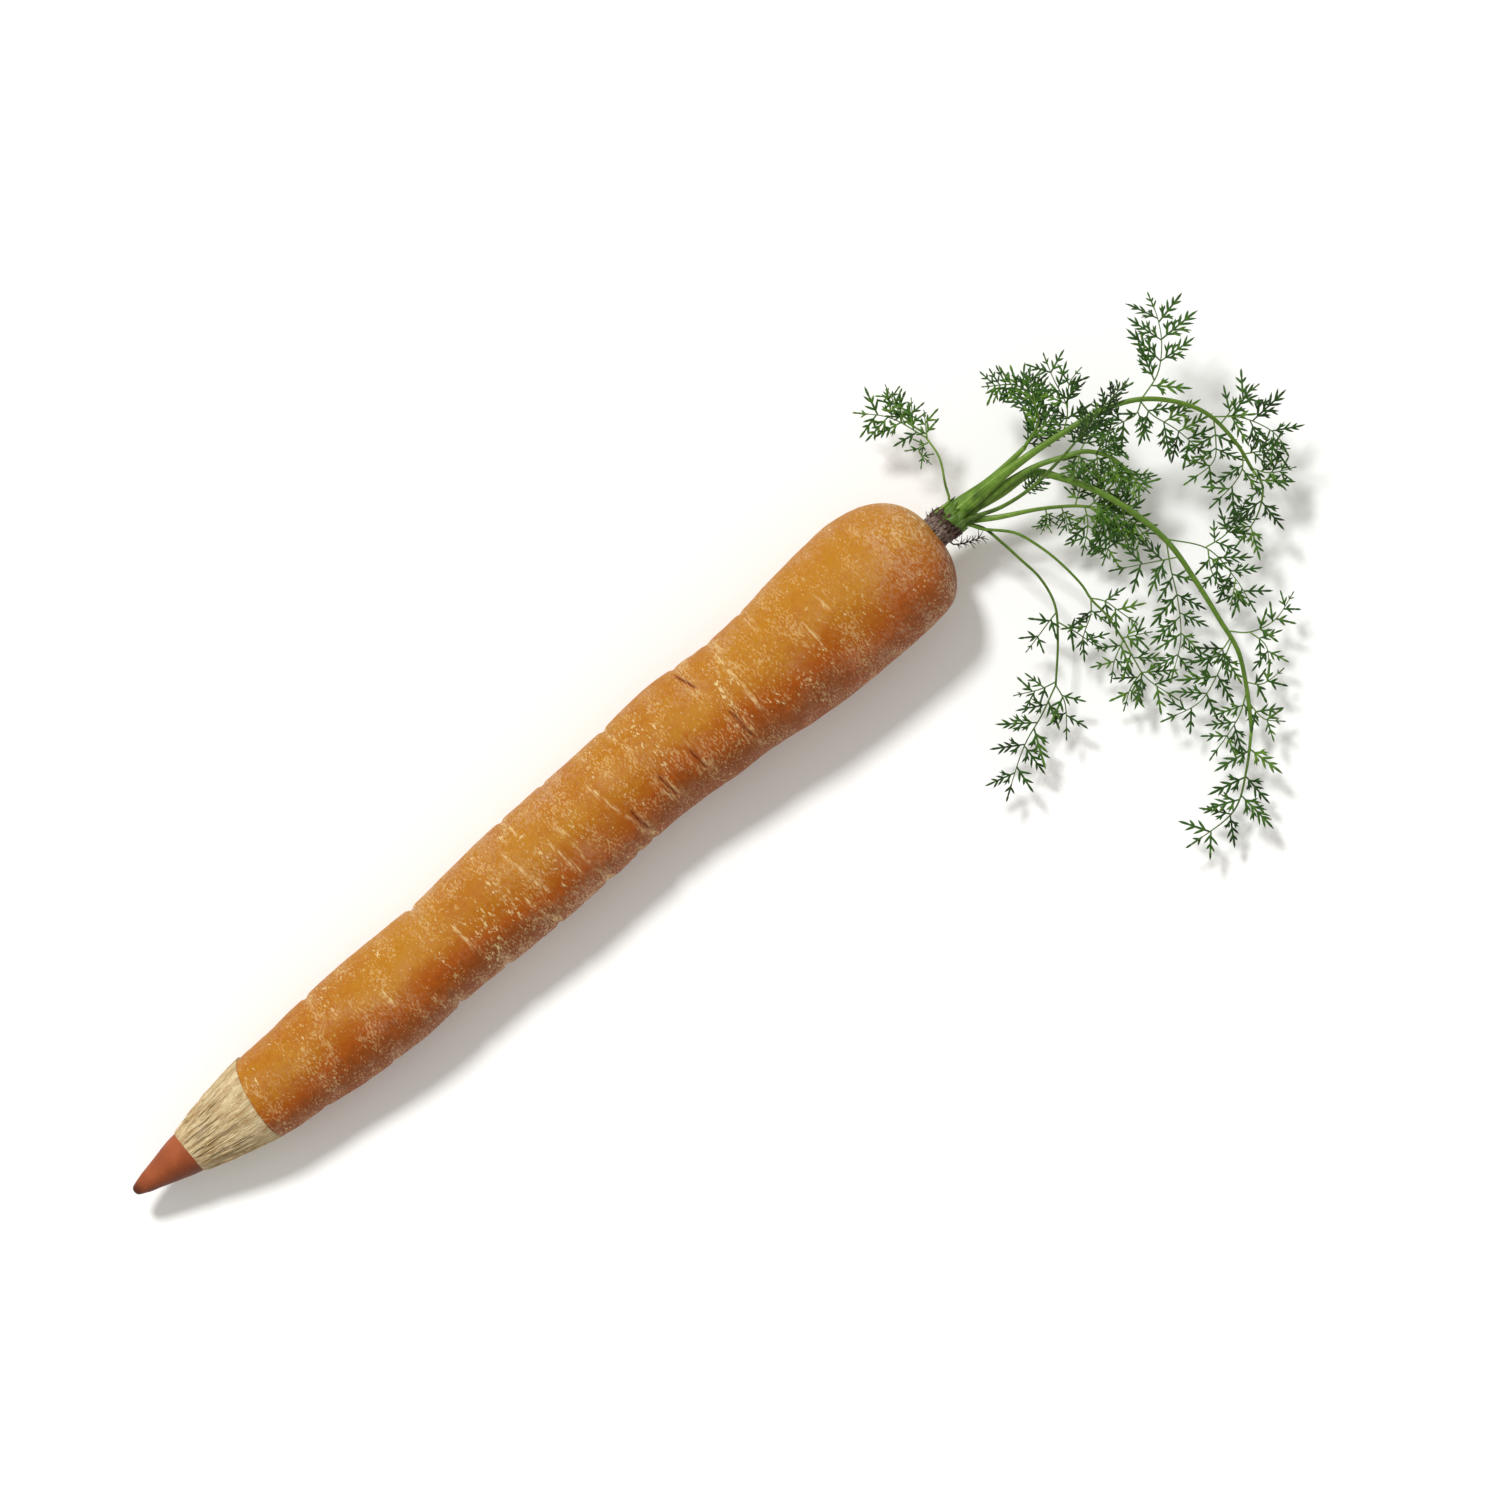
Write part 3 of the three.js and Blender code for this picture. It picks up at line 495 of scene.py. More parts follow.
class Wiring:
    """Adds nodes to a shader tree and joins them."""

    def __init__(self, tree: NodeTree) -> None:
        """Starts on a tree, which may be a material's or a group's."""
        self.tree = tree

    def node(self, kind: str, **settings: object) -> Node:
        """Adds a node.

        Args:
            kind: The node's type.
            settings: Its properties, by name.

        Returns:
            The node.
        """
        made = self.tree.nodes.new(kind)
        for key, value in settings.items():
            setattr(made, key, value)
        return made

    def feed(self, socket: Socket, value: object) -> None:
        """Gives a socket its value.

        Args:
            socket: The socket.
            value: Another socket, which is linked to it, or a plain value.
        """
        if isinstance(value, Socket):
            self.tree.links.new(value, socket)
        else:
            socket.default_value = value

    def add(self, kind: str, inputs: Inputs, output: str | int, **settings: object) -> Socket:
        """Adds a node and feeds its inputs.

        Args:
            kind: The node's type.
            inputs: Sockets or plain values, by the inputs' names or numbers.
            output: The name or number of the output that is wanted.
            settings: The node's properties, by name.

        Returns:
            The output.
        """
        made = self.node(kind, **settings)
        for key, value in inputs.items():
            self.feed(made.inputs[key], value)
        return made.outputs[output]

    def place(self, scale: Triple = (1.0, 1.0, 1.0), source: Socket | None = None) -> Socket:
        """Object coordinates, or another vector, stretched by a scale."""
        vector = source or self.node("ShaderNodeTexCoord").outputs["Object"]
        return self.add("ShaderNodeMapping", {"Vector": vector, "Scale": scale}, "Vector")

    def attribute(self, name: str, output: str = "Fac") -> Socket:
        """A value that the mesh holds at its corners."""
        return self.add("ShaderNodeAttribute", {}, output, attribute_name=name)

    def cloud(self, vector: Socket, scale: object, detail: float = 2.0, rough: float = 0.5) -> Socket:
        """Soft noise between 0 and 1."""
        inputs = {"Vector": vector, "Scale": scale, "Detail": detail, "Roughness": rough}
        return self.add("ShaderNodeTexNoise", inputs, "Fac")

    def span(
        self, value: Socket, low: object, high: object, bottom: object = 0.0, top: object = 1.0,
    ) -> Socket:
        """A value mapped smoothly from low and high to bottom and top, and held there."""
        inputs = {"Value": value, "From Min": low, "From Max": high, "To Min": bottom, "To Max": top}
        return self.add("ShaderNodeMapRange", inputs, "Result", interpolation_type="SMOOTHSTEP")

    def math(self, operation: str, *values: object) -> Socket:
        """A few values joined by one operation."""
        return self.add("ShaderNodeMath", dict(enumerate(values)), 0, operation=operation)

    def times(self, first: object, second: object) -> Socket:
        """Two values multiplied."""
        return self.math("MULTIPLY", first, second)

    def plus(self, first: object, second: object) -> Socket:
        """Two values added."""
        return self.math("ADD", first, second)

    def mix(self, share: object, first: object, second: object) -> Socket:
        """Two colours mixed by a share."""
        inputs = {"Factor": share, "A": first, "B": second}
        return self.add("ShaderNodeMix", inputs, "Result", data_type="RGBA")

    def ramp(self, value: Socket, *stops: tuple[float, str]) -> Socket:
        """Reads a value as a colour.

        Args:
            value: The value.
            stops: Places on the ramp, each with its screen colour.

        Returns:
            The colour.
        """
        made = self.node("ShaderNodeValToRGB")
        elements = made.color_ramp.elements
        while len(elements) < len(stops):
            elements.new(0.5)
        for element, (at, code) in zip(elements, stops):
            element.position = at
            element.color = linear(code)
        self.feed(made.inputs["Fac"], value)
        return made.outputs["Color"]

    def bump(self, height: Socket, strength: float, depth: float) -> Socket:
        """A normal from a height, with its depth in millimetres."""
        inputs = {"Height": height, "Strength": strength, "Distance": depth * MM}
        return self.add("ShaderNodeBump", inputs, "Normal")

    def effect(self, group: NodeTree, **values: object) -> Socket:
        """Places a shared effect and returns its one output."""
        return self.add("ShaderNodeGroup", values, 0, node_tree=group)


class Effects:
    """Shared effects, each a node group that puts out one mask."""

    # How strongly flecks gather, and the levels between which each mask rises
    CLUSTERING = 0.52
    FLECK_EDGE = (0.6, 0.68)
    STREAK_EDGE = 0.3
    STREAK_SHARPENING = 0.2
    PATCH_EDGE = (0.3, 0.7)
    def __init__(self) -> None:
        """Builds the groups once for all materials."""
        self.flecks = self.fleck_group()
        self.streaks = self.streak_group()
        self.patches = self.patch_group()

    @staticmethod
    def start(name: str, *numbers: str) -> tuple[Wiring, dict[str, Socket], Socket]:
        """Opens a group that takes a vector and a few numbers.

        Args:
            name: The group's name.
            numbers: The names of the numbers.

        Returns:
            The group's wiring, its inputs by name, and the socket that takes its mask.
        """
        tree = bpy.data.node_groups.new(name, "ShaderNodeTree")
        tree.interface.new_socket("Vector", in_out="INPUT", socket_type="NodeSocketVector")
        for key in numbers:
            tree.interface.new_socket(key, in_out="INPUT", socket_type="NodeSocketFloat")
        tree.interface.new_socket("Mask", in_out="OUTPUT", socket_type="NodeSocketFloat")
        wiring = Wiring(tree)
        given = wiring.node("NodeGroupInput").outputs
        mask = wiring.node("NodeGroupOutput").inputs["Mask"]
        return wiring, {key: given[key] for key in ("Vector", *numbers)}, mask

    def fleck_group(self) -> NodeTree:
        """Small sharp flecks that gather in clusters.

        Returns:
            The group.
        """
        wiring, given, mask = self.start("Clustered flecks", "Grain", "Cluster", "Cover")
        fine = wiring.cloud(given["Vector"], given["Grain"], 3.0, 0.62)
        broad = wiring.cloud(given["Vector"], given["Cluster"], 2.0, 0.5)
        level = wiring.math("MULTIPLY_ADD", broad, self.CLUSTERING, -self.CLUSTERING / 2)
        raised = wiring.plus(wiring.plus(fine, level), given["Cover"])
        wiring.feed(mask, wiring.span(raised, *self.FLECK_EDGE))
        return wiring.tree

    def streak_group(self) -> NodeTree:
        """Long fine streaks, along the direction in which the vector is drawn out.

        Returns:
            The group.
        """
        wiring, given, mask = self.start("Drawn-out streaks", "Grain", "Sharpness")
        value = wiring.cloud(given["Vector"], given["Grain"], 4.0, 0.6)
        low = wiring.math("MULTIPLY_ADD", given["Sharpness"], self.STREAK_SHARPENING, self.STREAK_EDGE)
        wiring.feed(mask, wiring.span(value, low, wiring.math("SUBTRACT", 1.0, low)))
        return wiring.tree

    def patch_group(self) -> NodeTree:
        """Broad soft patches.

        Returns:
            The group.
        """
        wiring, given, mask = self.start("Soft patches", "Grain")
        cloud = wiring.cloud(given["Vector"], given["Grain"])
        wiring.feed(mask, wiring.span(cloud, *self.PATCH_EDGE))
        return wiring.tree


class Finish:
    """A procedural finish, made into a material."""

    name = "finish"
    specular = 0.4

    def dress(self, wiring: Wiring, effects: Effects) -> Inputs:
        """Lays out the finish's nodes.

        Args:
            wiring: The material's wiring.
            effects: The shared effects.

        Returns:
            What goes into the shader's inputs: sockets or plain values, by the inputs' names.
        """
        raise NotImplementedError

    def material(self, effects: Effects) -> Material:
        """Makes the material.

        Args:
            effects: The shared effects.

        Returns:
            The material, with its shader joined up.
        """
        made = bpy.data.materials.new(self.name)
        made.use_nodes = True
        made.node_tree.nodes.clear()
        wiring = Wiring(made.node_tree)
        inputs = {**self.dress(wiring, effects), "Specular IOR Level": self.specular}
        surface = wiring.node("ShaderNodeOutputMaterial").inputs["Surface"]
        wiring.feed(surface, wiring.add("ShaderNodeBsdfPrincipled", inputs, "BSDF"))
        return made


@dataclass(frozen=True)
class SkinFinish(Finish):
    """Golden skin, rusty and brown with painted shade down one flank, with flecks, scars, creases and dust.
    """

    name: str = "carrot skin"
    specular: float = 0.14
    golden: str = "#b07414"
    amber: str = "#a45c0e"
    # Rusty and brown also give the painted shade down the flank away from the light
    rusty: str = "#9f4d09"
    brown: str = "#844008"
    pale: str = "#e8cb92"
    dust: str = "#cdac8c"
    # The creases' dark: partly their own colour, partly painted shade in the groove
    shadow: str = "#581e06"
    # What the rust with its painted shade, the patches and the mottling add to the tone
    rust_and_shade_share: float = 0.66
    patch_share: float = 0.16
    mottle_share: float = 0.5
    # How far each layer covers the ones under it
    dust_cover: Span = (0.08, 0.8)
    grain_cover: float = 0.3
    fleck_cover: float = 0.75
    scar_cover: Span = (0.05, 0.75)
    crease_cover: float = 0.7
    # Stretches of the object coordinates, for flecks and for lines that run across the root
    fleck_stretch: Triple = (1.9, 0.8, 0.8)
    line_stretch: Triple = (3.4, 0.3, 0.3)

    def dress(self, wiring: Wiring, effects: Effects) -> Inputs:
        """Layers rust and creases, both partly painted shade, and mottling, dust, flecks and scars."""
        plain = wiring.place()
        across = wiring.place(self.fleck_stretch)
        patches = wiring.effect(effects.patches, Vector=plain, Grain=55.0)
        mottle = wiring.cloud(plain, 700.0, 3.0, 0.65)
        # The rust value: rust down the flank away from the light, partly the skin's own colour, partly
        # painted shade
        tone = wiring.times(wiring.attribute("rust_and_shade"), self.rust_and_shade_share)
        tone = wiring.plus(tone, wiring.times(patches, self.patch_share))
        tone = wiring.plus(tone, wiring.times(mottle, self.mottle_share))
        colour = wiring.ramp(
            tone, (0.26, self.golden), (0.53, self.amber), (0.78, self.rusty), (1.0, self.brown))
        frost = wiring.effect(effects.flecks, Vector=across, Grain=1250.0, Cluster=110.0, Cover=0.1)
        share = wiring.times(wiring.attribute("bloom"), wiring.span(frost, 0.0, 1.0, *self.dust_cover))
        colour = wiring.mix(share, colour, linear(self.dust))
        grains = wiring.effect(effects.flecks, Vector=across, Grain=1500.0, Cluster=140.0, Cover=0.03)
        colour = wiring.mix(wiring.times(grains, self.grain_cover), colour, linear(self.pale))
        flecks = wiring.effect(effects.flecks, Vector=across, Grain=950.0, Cluster=90.0, Cover=-0.05)
        colour = wiring.mix(wiring.times(flecks, self.fleck_cover), colour, linear(self.pale))
        along = wiring.place(self.line_stretch)
        lines = wiring.effect(effects.streaks, Vector=along, Grain=800.0, Sharpness=0.75)
        gaps = wiring.span(wiring.cloud(across, 700.0, 2.0, 0.6), 0.38, 0.62, *self.scar_cover)
        worn = wiring.attribute("scar")
        slit = wiring.times(wiring.span(worn, 0.7, 1.0), gaps)
        scar = wiring.math("MAXIMUM", wiring.times(worn, wiring.times(lines, gaps)), slit)
        colour = wiring.mix(scar, colour, linear(self.pale))
        # The creases darken with a rusty halo and a deep line: partly their own colour, partly painted
        # shade in the groove
        crease = wiring.attribute("crease")
        colour = wiring.mix(wiring.times(crease, self.crease_cover), colour, linear(self.rusty))
        deep = wiring.times(crease, wiring.span(wiring.cloud(plain, 900.0), 0.3, 0.6, 0.92, 1.1))
        colour = wiring.mix(wiring.span(deep, 0.5, 1.2), colour, linear(self.shadow))
        rough = wiring.span(flecks, 0.0, 1.0, 0.55, 0.8)
        height = wiring.plus(wiring.times(mottle, 0.7), wiring.times(flecks, 0.5))
        return {"Base Color": colour, "Roughness": rough, "Normal": wiring.bump(height, 0.55, 0.3)}


@dataclass(frozen=True)
class WoodFinish(Finish):
    """Raw sharpened wood with torn grain, with painted shade in its furrows and on its far flank."""

    name: str = "sharpened wood"
    specular: float = 0.15
    cream: str = "#e4d0a6"
    tan: str = "#ac8b5c"
    # The brown of the painted shade in the furrows and on the flank away from the light
    brown: str = "#4f3415"
    fine_share: float = 0.5
    broad_share: float = 0.5
    grain_stretch: Triple = (0.16, 1.0, 1.0)

    def dress(self, wiring: Wiring, effects: Effects) -> Inputs:
        """Streaks the grain, and paints shade in the furrows and on the flank away from the light."""
        grain = wiring.place(self.grain_stretch, wiring.attribute("grain", "Vector"))
        fine = wiring.effect(effects.streaks, Vector=grain, Grain=4.5, Sharpness=0.3)
        broad = wiring.effect(effects.patches, Vector=grain, Grain=0.9)
        tone = wiring.plus(wiring.times(fine, self.fine_share), wiring.times(broad, self.broad_share))
        colour = wiring.ramp(tone, (0.1, self.tan), (0.85, self.cream))
        # Painted shade: the furrow value darkens the furrows and the flank away from the light
        colour = wiring.mix(wiring.attribute("furrow"), colour, linear(self.brown))
        rough = wiring.span(fine, 0.0, 1.0, 0.7, 0.9)
        return {"Base Color": colour, "Roughness": rough, "Normal": wiring.bump(fine, 0.6, 0.2)}


@dataclass(frozen=True)
class CoreFinish(Finish):
    """Waxy pigment, worn dark at the tip, with painted shade on the flank away from the light."""

    name: str = "colour core"
    specular: float = 0.2
    terracotta: str = "#a3562f"
    russet: str = "#8c4422"
    # The dark of the worn tip, also painted as shade on the flank away from the light
    tip: str = "#3d1a10"
    patch_share: float = 0.4
    grit_share: float = 0.6

    def dress(self, wiring: Wiring, effects: Effects) -> Inputs:
        """Mottles the pigment, darkens its tip and paints shade on the flank away from the light."""
        plain = wiring.place()
        patches = wiring.effect(effects.patches, Vector=plain, Grain=260.0)
        grit = wiring.cloud(plain, 2600.0, 3.0, 0.6)
        tone = wiring.plus(wiring.times(patches, self.patch_share), wiring.times(grit, self.grit_share))
        colour = wiring.ramp(tone, (0.2, self.russet), (0.8, self.terracotta))
        # The worn value holds the dark tip and painted shade on the flank away from the light
        colour = wiring.mix(wiring.attribute("worn"), colour, linear(self.tip))
        rough = wiring.span(grit, 0.3, 0.7, 0.45, 0.62)
        return {"Base Color": colour, "Roughness": rough, "Normal": wiring.bump(grit, 0.25, 0.1)}


@dataclass(frozen=True)
class BarkFinish(Finish):
    """Dry brown fibres of old leaf bases."""

    name: str = "crown bark"
    specular: float = 0.15
    black: str = "#251a14"
    brown: str = "#665247"
    grey: str = "#a3948a"
    fibre_share: float = 0.4
    fibre_stretch: Triple = (0.25, 1.0, 1.0)

    def dress(self, wiring: Wiring, effects: Effects) -> Inputs:
        """Streaks the fibres and gives each its own tone."""
        grain = wiring.place(self.fibre_stretch)
        fibre = wiring.effect(effects.streaks, Vector=grain, Grain=2400.0, Sharpness=0.3)
        tone = wiring.plus(wiring.times(fibre, self.fibre_share), wiring.attribute("tone"))
        colour = wiring.ramp(tone, (0.1, self.black), (0.55, self.brown), (1.0, self.grey))
        rough = wiring.span(fibre, 0.0, 1.0, 0.75, 0.95)
        return {"Base Color": colour, "Roughness": rough, "Normal": wiring.bump(fibre, 0.6, 0.2)}


@dataclass(frozen=True)
class StalkFinish(Finish):
    """Grooved green stalks, lighter on their ridges."""

    name: str = "green stalk"
    specular: float = 0.3
    deep: str = "#2e4212"
    green: str = "#5f8226"
    light: str = "#a3bd5e"
    ridge_share: float = 0.45
    grit_share: float = 0.12

    def dress(self, wiring: Wiring, effects: Effects) -> Inputs:
        """Reads the tone and the ridges that the stalk's mesh holds."""
        grit = wiring.effect(effects.patches, Vector=wiring.place(), Grain=900.0)
        ridge = wiring.times(wiring.attribute("ridge"), self.ridge_share)
        tone = wiring.plus(wiring.attribute("tone"), ridge)
        tone = wiring.plus(tone, wiring.times(grit, self.grit_share))
        colour = wiring.ramp(tone, (0.05, self.deep), (0.5, self.green), (1.0, self.light))
        rough = wiring.span(grit, 0.0, 1.0, 0.42, 0.58)
        return {"Base Color": colour, "Roughness": rough, "Normal": wiring.bump(grit, 0.2, 0.1)}


@dataclass(frozen=True)
class LeafFinish(Finish):
    """Finely cut leaflets, each in its own green."""

    name: str = "green leaflet"
    specular: float = 0.2
    dark: str = "#182a0b"
    green: str = "#34591c"
    light: str = "#78a034"
    patch_share: float = 0.25

    def dress(self, wiring: Wiring, effects: Effects) -> Inputs:
        """Reads each leaflet's tone and varies it along its lobes."""
        patches = wiring.effect(effects.patches, Vector=wiring.place(), Grain=700.0)
        tone = wiring.plus(wiring.attribute("tone"), wiring.times(patches, self.patch_share))
        colour = wiring.ramp(tone, (0.1, self.dark), (0.5, self.green), (1.0, self.light))
        rough = wiring.span(patches, 0.0, 1.0, 0.45, 0.62)
        return {"Base Color": colour, "Roughness": rough, "Normal": wiring.bump(patches, 0.3, 0.1)}


@dataclass(frozen=True)
class FloorFinish(Finish):
    """A plain pale studio floor."""

    name: str = "pale floor"
    white: str = "#fdfdfd"

    def dress(self, wiring: Wiring, effects: Effects) -> Inputs:
        """Gives the floor a plain colour and a faint change of roughness."""
        patches = wiring.effect(effects.patches, Vector=wiring.place(), Grain=8.0)
        return {"Base Color": linear(self.white), "Roughness": wiring.span(patches, 0.0, 1.0, 0.8, 0.85)}


@dataclass(frozen=True)
class Bloom:
    """Dust on the skin: on the head's shoulder, low on both flanks and in loose patches."""

    head_at: float = 206.0
    head_run: float = 11.0
    head_share: float = 0.42
    flank_from: float = 34.0
    flank_run: float = 45.0
    lit_share: float = 0.5
    shaded_share: float = 0.85
    wave: float = 0.35
    wave_run: float = 17.0
    wave_shift: float = 2.2
    thins_from: float = 172.0
    thins_over: float = 14.0
    thinning: float = 0.45
    patch_share: float = 0.3
    patch_run: float = 12.0
    patch_radius: float = 2.4
    patch_level: float = 0.1

    def at(self, s: float, angle: float) -> float:
        """How dusty the skin is at a place.

        Args:
            s: The place along the root.
            angle: Its angle, in radians.

        Returns:
            A share between 0 and 1.
        """
        head = bell(s - self.head_at, self.head_run) * self.head_share
        flank = clamp((turn_between(math.degrees(angle), TOP) - self.flank_from) / self.flank_run)
        side = self.shaded_share if math.cos(angle) < 0 else self.lit_share
        wave = 1 - self.wave + self.wave * math.sin(s / self.wave_run + self.wave_shift)
        thin = 1 - self.thinning * clamp((s - self.thins_from) / self.thins_over)
        cloud = noise.noise(around(s / self.patch_run, angle, self.patch_radius))
        return clamp(head + side * flank * wave * thin + self.patch_share * clamp(cloud + self.patch_level))


@dataclass(frozen=True)
class RustAndShade:
    """The skin's change from golden to rusty, from just past the top down one flank, partly as painted
    shade.
    """

    starts: float = 74.0
    over: float = 70.0
    waver: float = 16.0
    waver_run: float = 16.0
    waver_row: float = 3.0
    waver_radius: float = 1.5

    def at(self, s: float, angle: float) -> float:
        """How rusty the skin is at a place, with the painted shade of the flank away from the light.

        Args:
            s: The place along the root.
            angle: Its angle, in radians.

        Returns:
            A share between 0 and 1.
        """
        spot = Vector((s / self.waver_run, self.waver_row, self.waver_radius * math.cos(angle)))
        turned = (math.degrees(angle) + TOP) % 360 - TOP
        down = clamp((turned - self.starts + self.waver * noise.noise(spot)) / self.over)
        return down * down * (3 - 2 * down)


@dataclass
class RootSkin:
    """The root: its swellings, creases, scars and bloom."""

    line: RootLine
    bloom: Bloom = Bloom()
    rust_and_shade: RustAndShade = RustAndShade()
    edge_at: float = 31.6
    edge_slant: float = 0.2778
    edge_leans: Span = (-0.53, 0.848)
    edge_gap: float = 0.12
    start: float = 26.0
    rings: int = 400
    sides: int = 168
    # Notches: s, middle angle and half the angle covered in degrees, depth
    notches: tuple[Row, ...] = (
        (51.2, 10, 60, 0.45), (74.6, 172, 60, 0.7), (78.8, 8, 60, 0.65), (86.7, 172, 55, 0.5),
        (100, 165, 60, 0.4), (113, 165, 60, 0.45), (125.5, 150, 60, 0.55), (134.2, 122, 45, 0.5),
        (142.2, 120, 45, 0.5), (149.8, 30, 60, 0.5), (153.4, 118, 45, 0.5), (167, 10, 50, 0.35),
        (57.3, 175, 30, 0.35), (103.7, 8, 35, 0.4), (114.9, 8, 35, 0.35), (131.1, 6, 40, 0.45),
        (158.2, 40, 70, 0.3), (40.7, 176, 30, 0.3), (121.4, 176, 30, 0.35),
    )
    # Dark creases: s and the sideways place at both ends
    creases: tuple[Row, ...] = (
        (153.2, -0.8, 153.8, -8.6), (142, -2.6, 142.6, -8.2), (134, -2.6, 134.6, -8.8),
        (125.2, -4.2, 125.9, -10.4), (149.2, 11.6, 151, 6.6),
    )
    # Pale scars: s and the sideways place at both ends
    scars: tuple[Row, ...] = (
        (175.4, 4.8, 175.8, -3.6), (180.9, 5.9, 181.2, 1.6), (121.4, 7, 123.4, -3.2),
        (111.8, 5.4, 112.6, -9.8), (108.3, 2.6, 110, -7), (100.2, 6.6, 102.5, -6.2),
        (97.9, -2.8, 100.1, -11.6), (83.2, 3.2, 84.8, -8.4), (71.4, -5.2, 71.8, -9.6),
        (54.3, 5.4, 54.6, 3.2), (158, 11.8, 158.6, -7.6), (131.2, 11.4, 133, 4.2), (104, 11, 105, 6.4),
        (64.2, 2, 64.6, -3), (167, 12.6, 167.8, 7.2),
    )
    # A stroke's width, how far it is felt, how it wavers, and how it fades at its ends
    stroke_width: float = 0.5
    stroke_near: float = 4.0
    stroke_lowest: float = -0.2
    stroke_overrun: float = 0.05
    stroke_waver: float = 0.2
    stroke_wave: float = 2.5
    stroke_fade: float = 7.0
    stroke_blunt: float = 0.35
    crease_depth: float = 0.35
    crease_width: float = 0.45
    scar_depth: float = 0.12
    # A notch's width, how far it is felt, its wave round the root, and the pale skin beside it
    notch_width: float = 0.7
    notch_near: float = 3.0
    notch_wave: float = 0.3
    notch_waves: int = 5
    beside_notch: float = 0.7
    beside_width: float = 1.1
    beside_level: float = 0.9
    # Pale skin beside a crease
    beside_crease: float = 1.1
    beside_share: float = 0.8
    # Scars on the side away from the camera: their ranges along and round the root, and their reach
    hidden_scars: int = 26
    hidden_run: Span = (40, 186)
    hidden_turn: Span = (190, 350)
    hidden_reach: Span = (8, 24)
    hidden_near: float = 2.0
    hidden_width: float = 0.6
    hidden_level: float = 1.2
    # The swollen shoulder of the head
    shoulder: float = 1.2
    shoulder_at: float = 202.5
    shoulder_run: float = 4.5
    # Long ripples: height, run along the root, turns round it and shift. They fade towards the crown
    ripples: tuple[Row, ...] = ((0.16, 7, 2, 0), (0.12, 11, -3, 1))
    ripple_fade: float = 12.0
    # Lumps: size and height
    lumps: tuple[Span, ...] = ((6, 0.16), (2.1, 0.06), (0.8, 0.035))
    lump_radius: float = 10.0

    def cut(self, bm: BMesh, gap: float, **sides: bool) -> list[BMEdge]:
        """Cuts a shape along the slanting edge between wood and skin.

        Args:
            bm: The shape, round the straight axis.
            gap: How far from the edge towards the root the cut lies.
            sides: Which side of the cut goes, as the operator names it.

        Returns:
            The edges along the cut.
        """
        normal = Vector((1, *(self.edge_slant * share for share in self.edge_leans))).normalized()
        made = bmesh.ops.bisect_plane(
            bm, geom=bm.verts[:] + bm.edges[:] + bm.faces[:], dist=ON_CUT,
            plane_co=Vector((self.edge_at, 0, 0)) + normal * gap, plane_no=normal, **sides,
        )["geom_cut"]
        return [item for item in made if isinstance(item, BMEdge)]

    def profile(self, place: float) -> Span:
        """The skin's s and radius at a place, which runs past the head's start by a quarter turn.

        Args:
            place: s up to the head's start, and beyond it the way round the head.

        Returns:
            s and the radius.
        """
        line = self.line
        if place <= line.head_start:
            return place, line.radius(place)
        turn = min(1.0, (place - line.head_start) / (line.head_end - line.head_start)) * math.pi / 2
        rise = (line.head_end - line.head_start) * math.sin(turn) ** line.head_squareness
        return line.head_start + rise, line.head_radius * max(0.0, math.cos(turn)) ** line.head_squareness

    def stroke(self, s: float, angle: float, ends: Row, width: float) -> float:
        """How strongly a stroke across the skin shows at a place.

        Args:
            s: The place along the root.
            angle: Its angle, in radians.
            ends: The stroke's s and sideways place at both ends.
            width: Its width.

        Returns:
            A strength between 0 and 1.
        """
        s0, y0, s1, y1 = ends
        if abs(s - (s0 + s1) / 2) > self.stroke_near or math.sin(angle) < self.stroke_lowest:
            return 0.0
        share = (self.line.radius(s) * math.cos(angle) - y0) / (y1 - y0)
        if not -self.stroke_overrun < share < 1 + self.stroke_overrun:
            return 0.0
        waver = self.stroke_waver * noise.noise(Vector((s0, self.stroke_wave * share, NOISE_LAYER)))
        first, last = (clamp(self.stroke_fade * part + self.stroke_blunt) for part in (share, 1 - share))
        return bell(s - s0 - (s1 - s0) * share - waver, width) * first * last

    def strongest(self, s: float, angle: float, strokes: Sequence[Row]) -> float:
        """How strongly the nearest of a few strokes shows at a place."""
        return max(self.stroke(s, angle, ends, self.stroke_width) for ends in strokes)

    def relief(self, s: float, angle: float) -> float:
        """How far the skin stands out from its smooth shape at a place.

        Args:
            s: The place along the root.
            angle: Its angle, in radians.

        Returns:
            The height of the place, below 0 in a notch or a crease.
        """
        degrees = math.degrees(angle)
        fade = clamp((self.line.head_end - s) / self.ripple_fade)
        out = fade * sum(
            high * math.sin(s / run + turns * angle + shift) for high, run, turns, shift in self.ripples)
        out += self.shoulder * bell(s - self.shoulder_at, self.shoulder_run) * clamp(-math.cos(angle))
        wave = self.notch_wave * math.sin(self.notch_waves * angle)
        for at, middle, reach, depth in self.notches:
            if abs(s - at) < self.notch_near:
                spread = turn_between(degrees, middle) / reach
                out -= depth * bell(s - at - wave, self.notch_width) * clamp(1 - spread * spread)
        for ends in self.creases:
            out -= self.crease_depth * self.stroke(s, angle, ends, self.crease_width)
        for ends in self.scars:
            out -= self.scar_depth * self.stroke(s, angle, ends, self.stroke_width)
        ring = around(s, angle, self.lump_radius)
        return out + fade * sum(height * noise.noise(ring / size) for size, height in self.lumps)

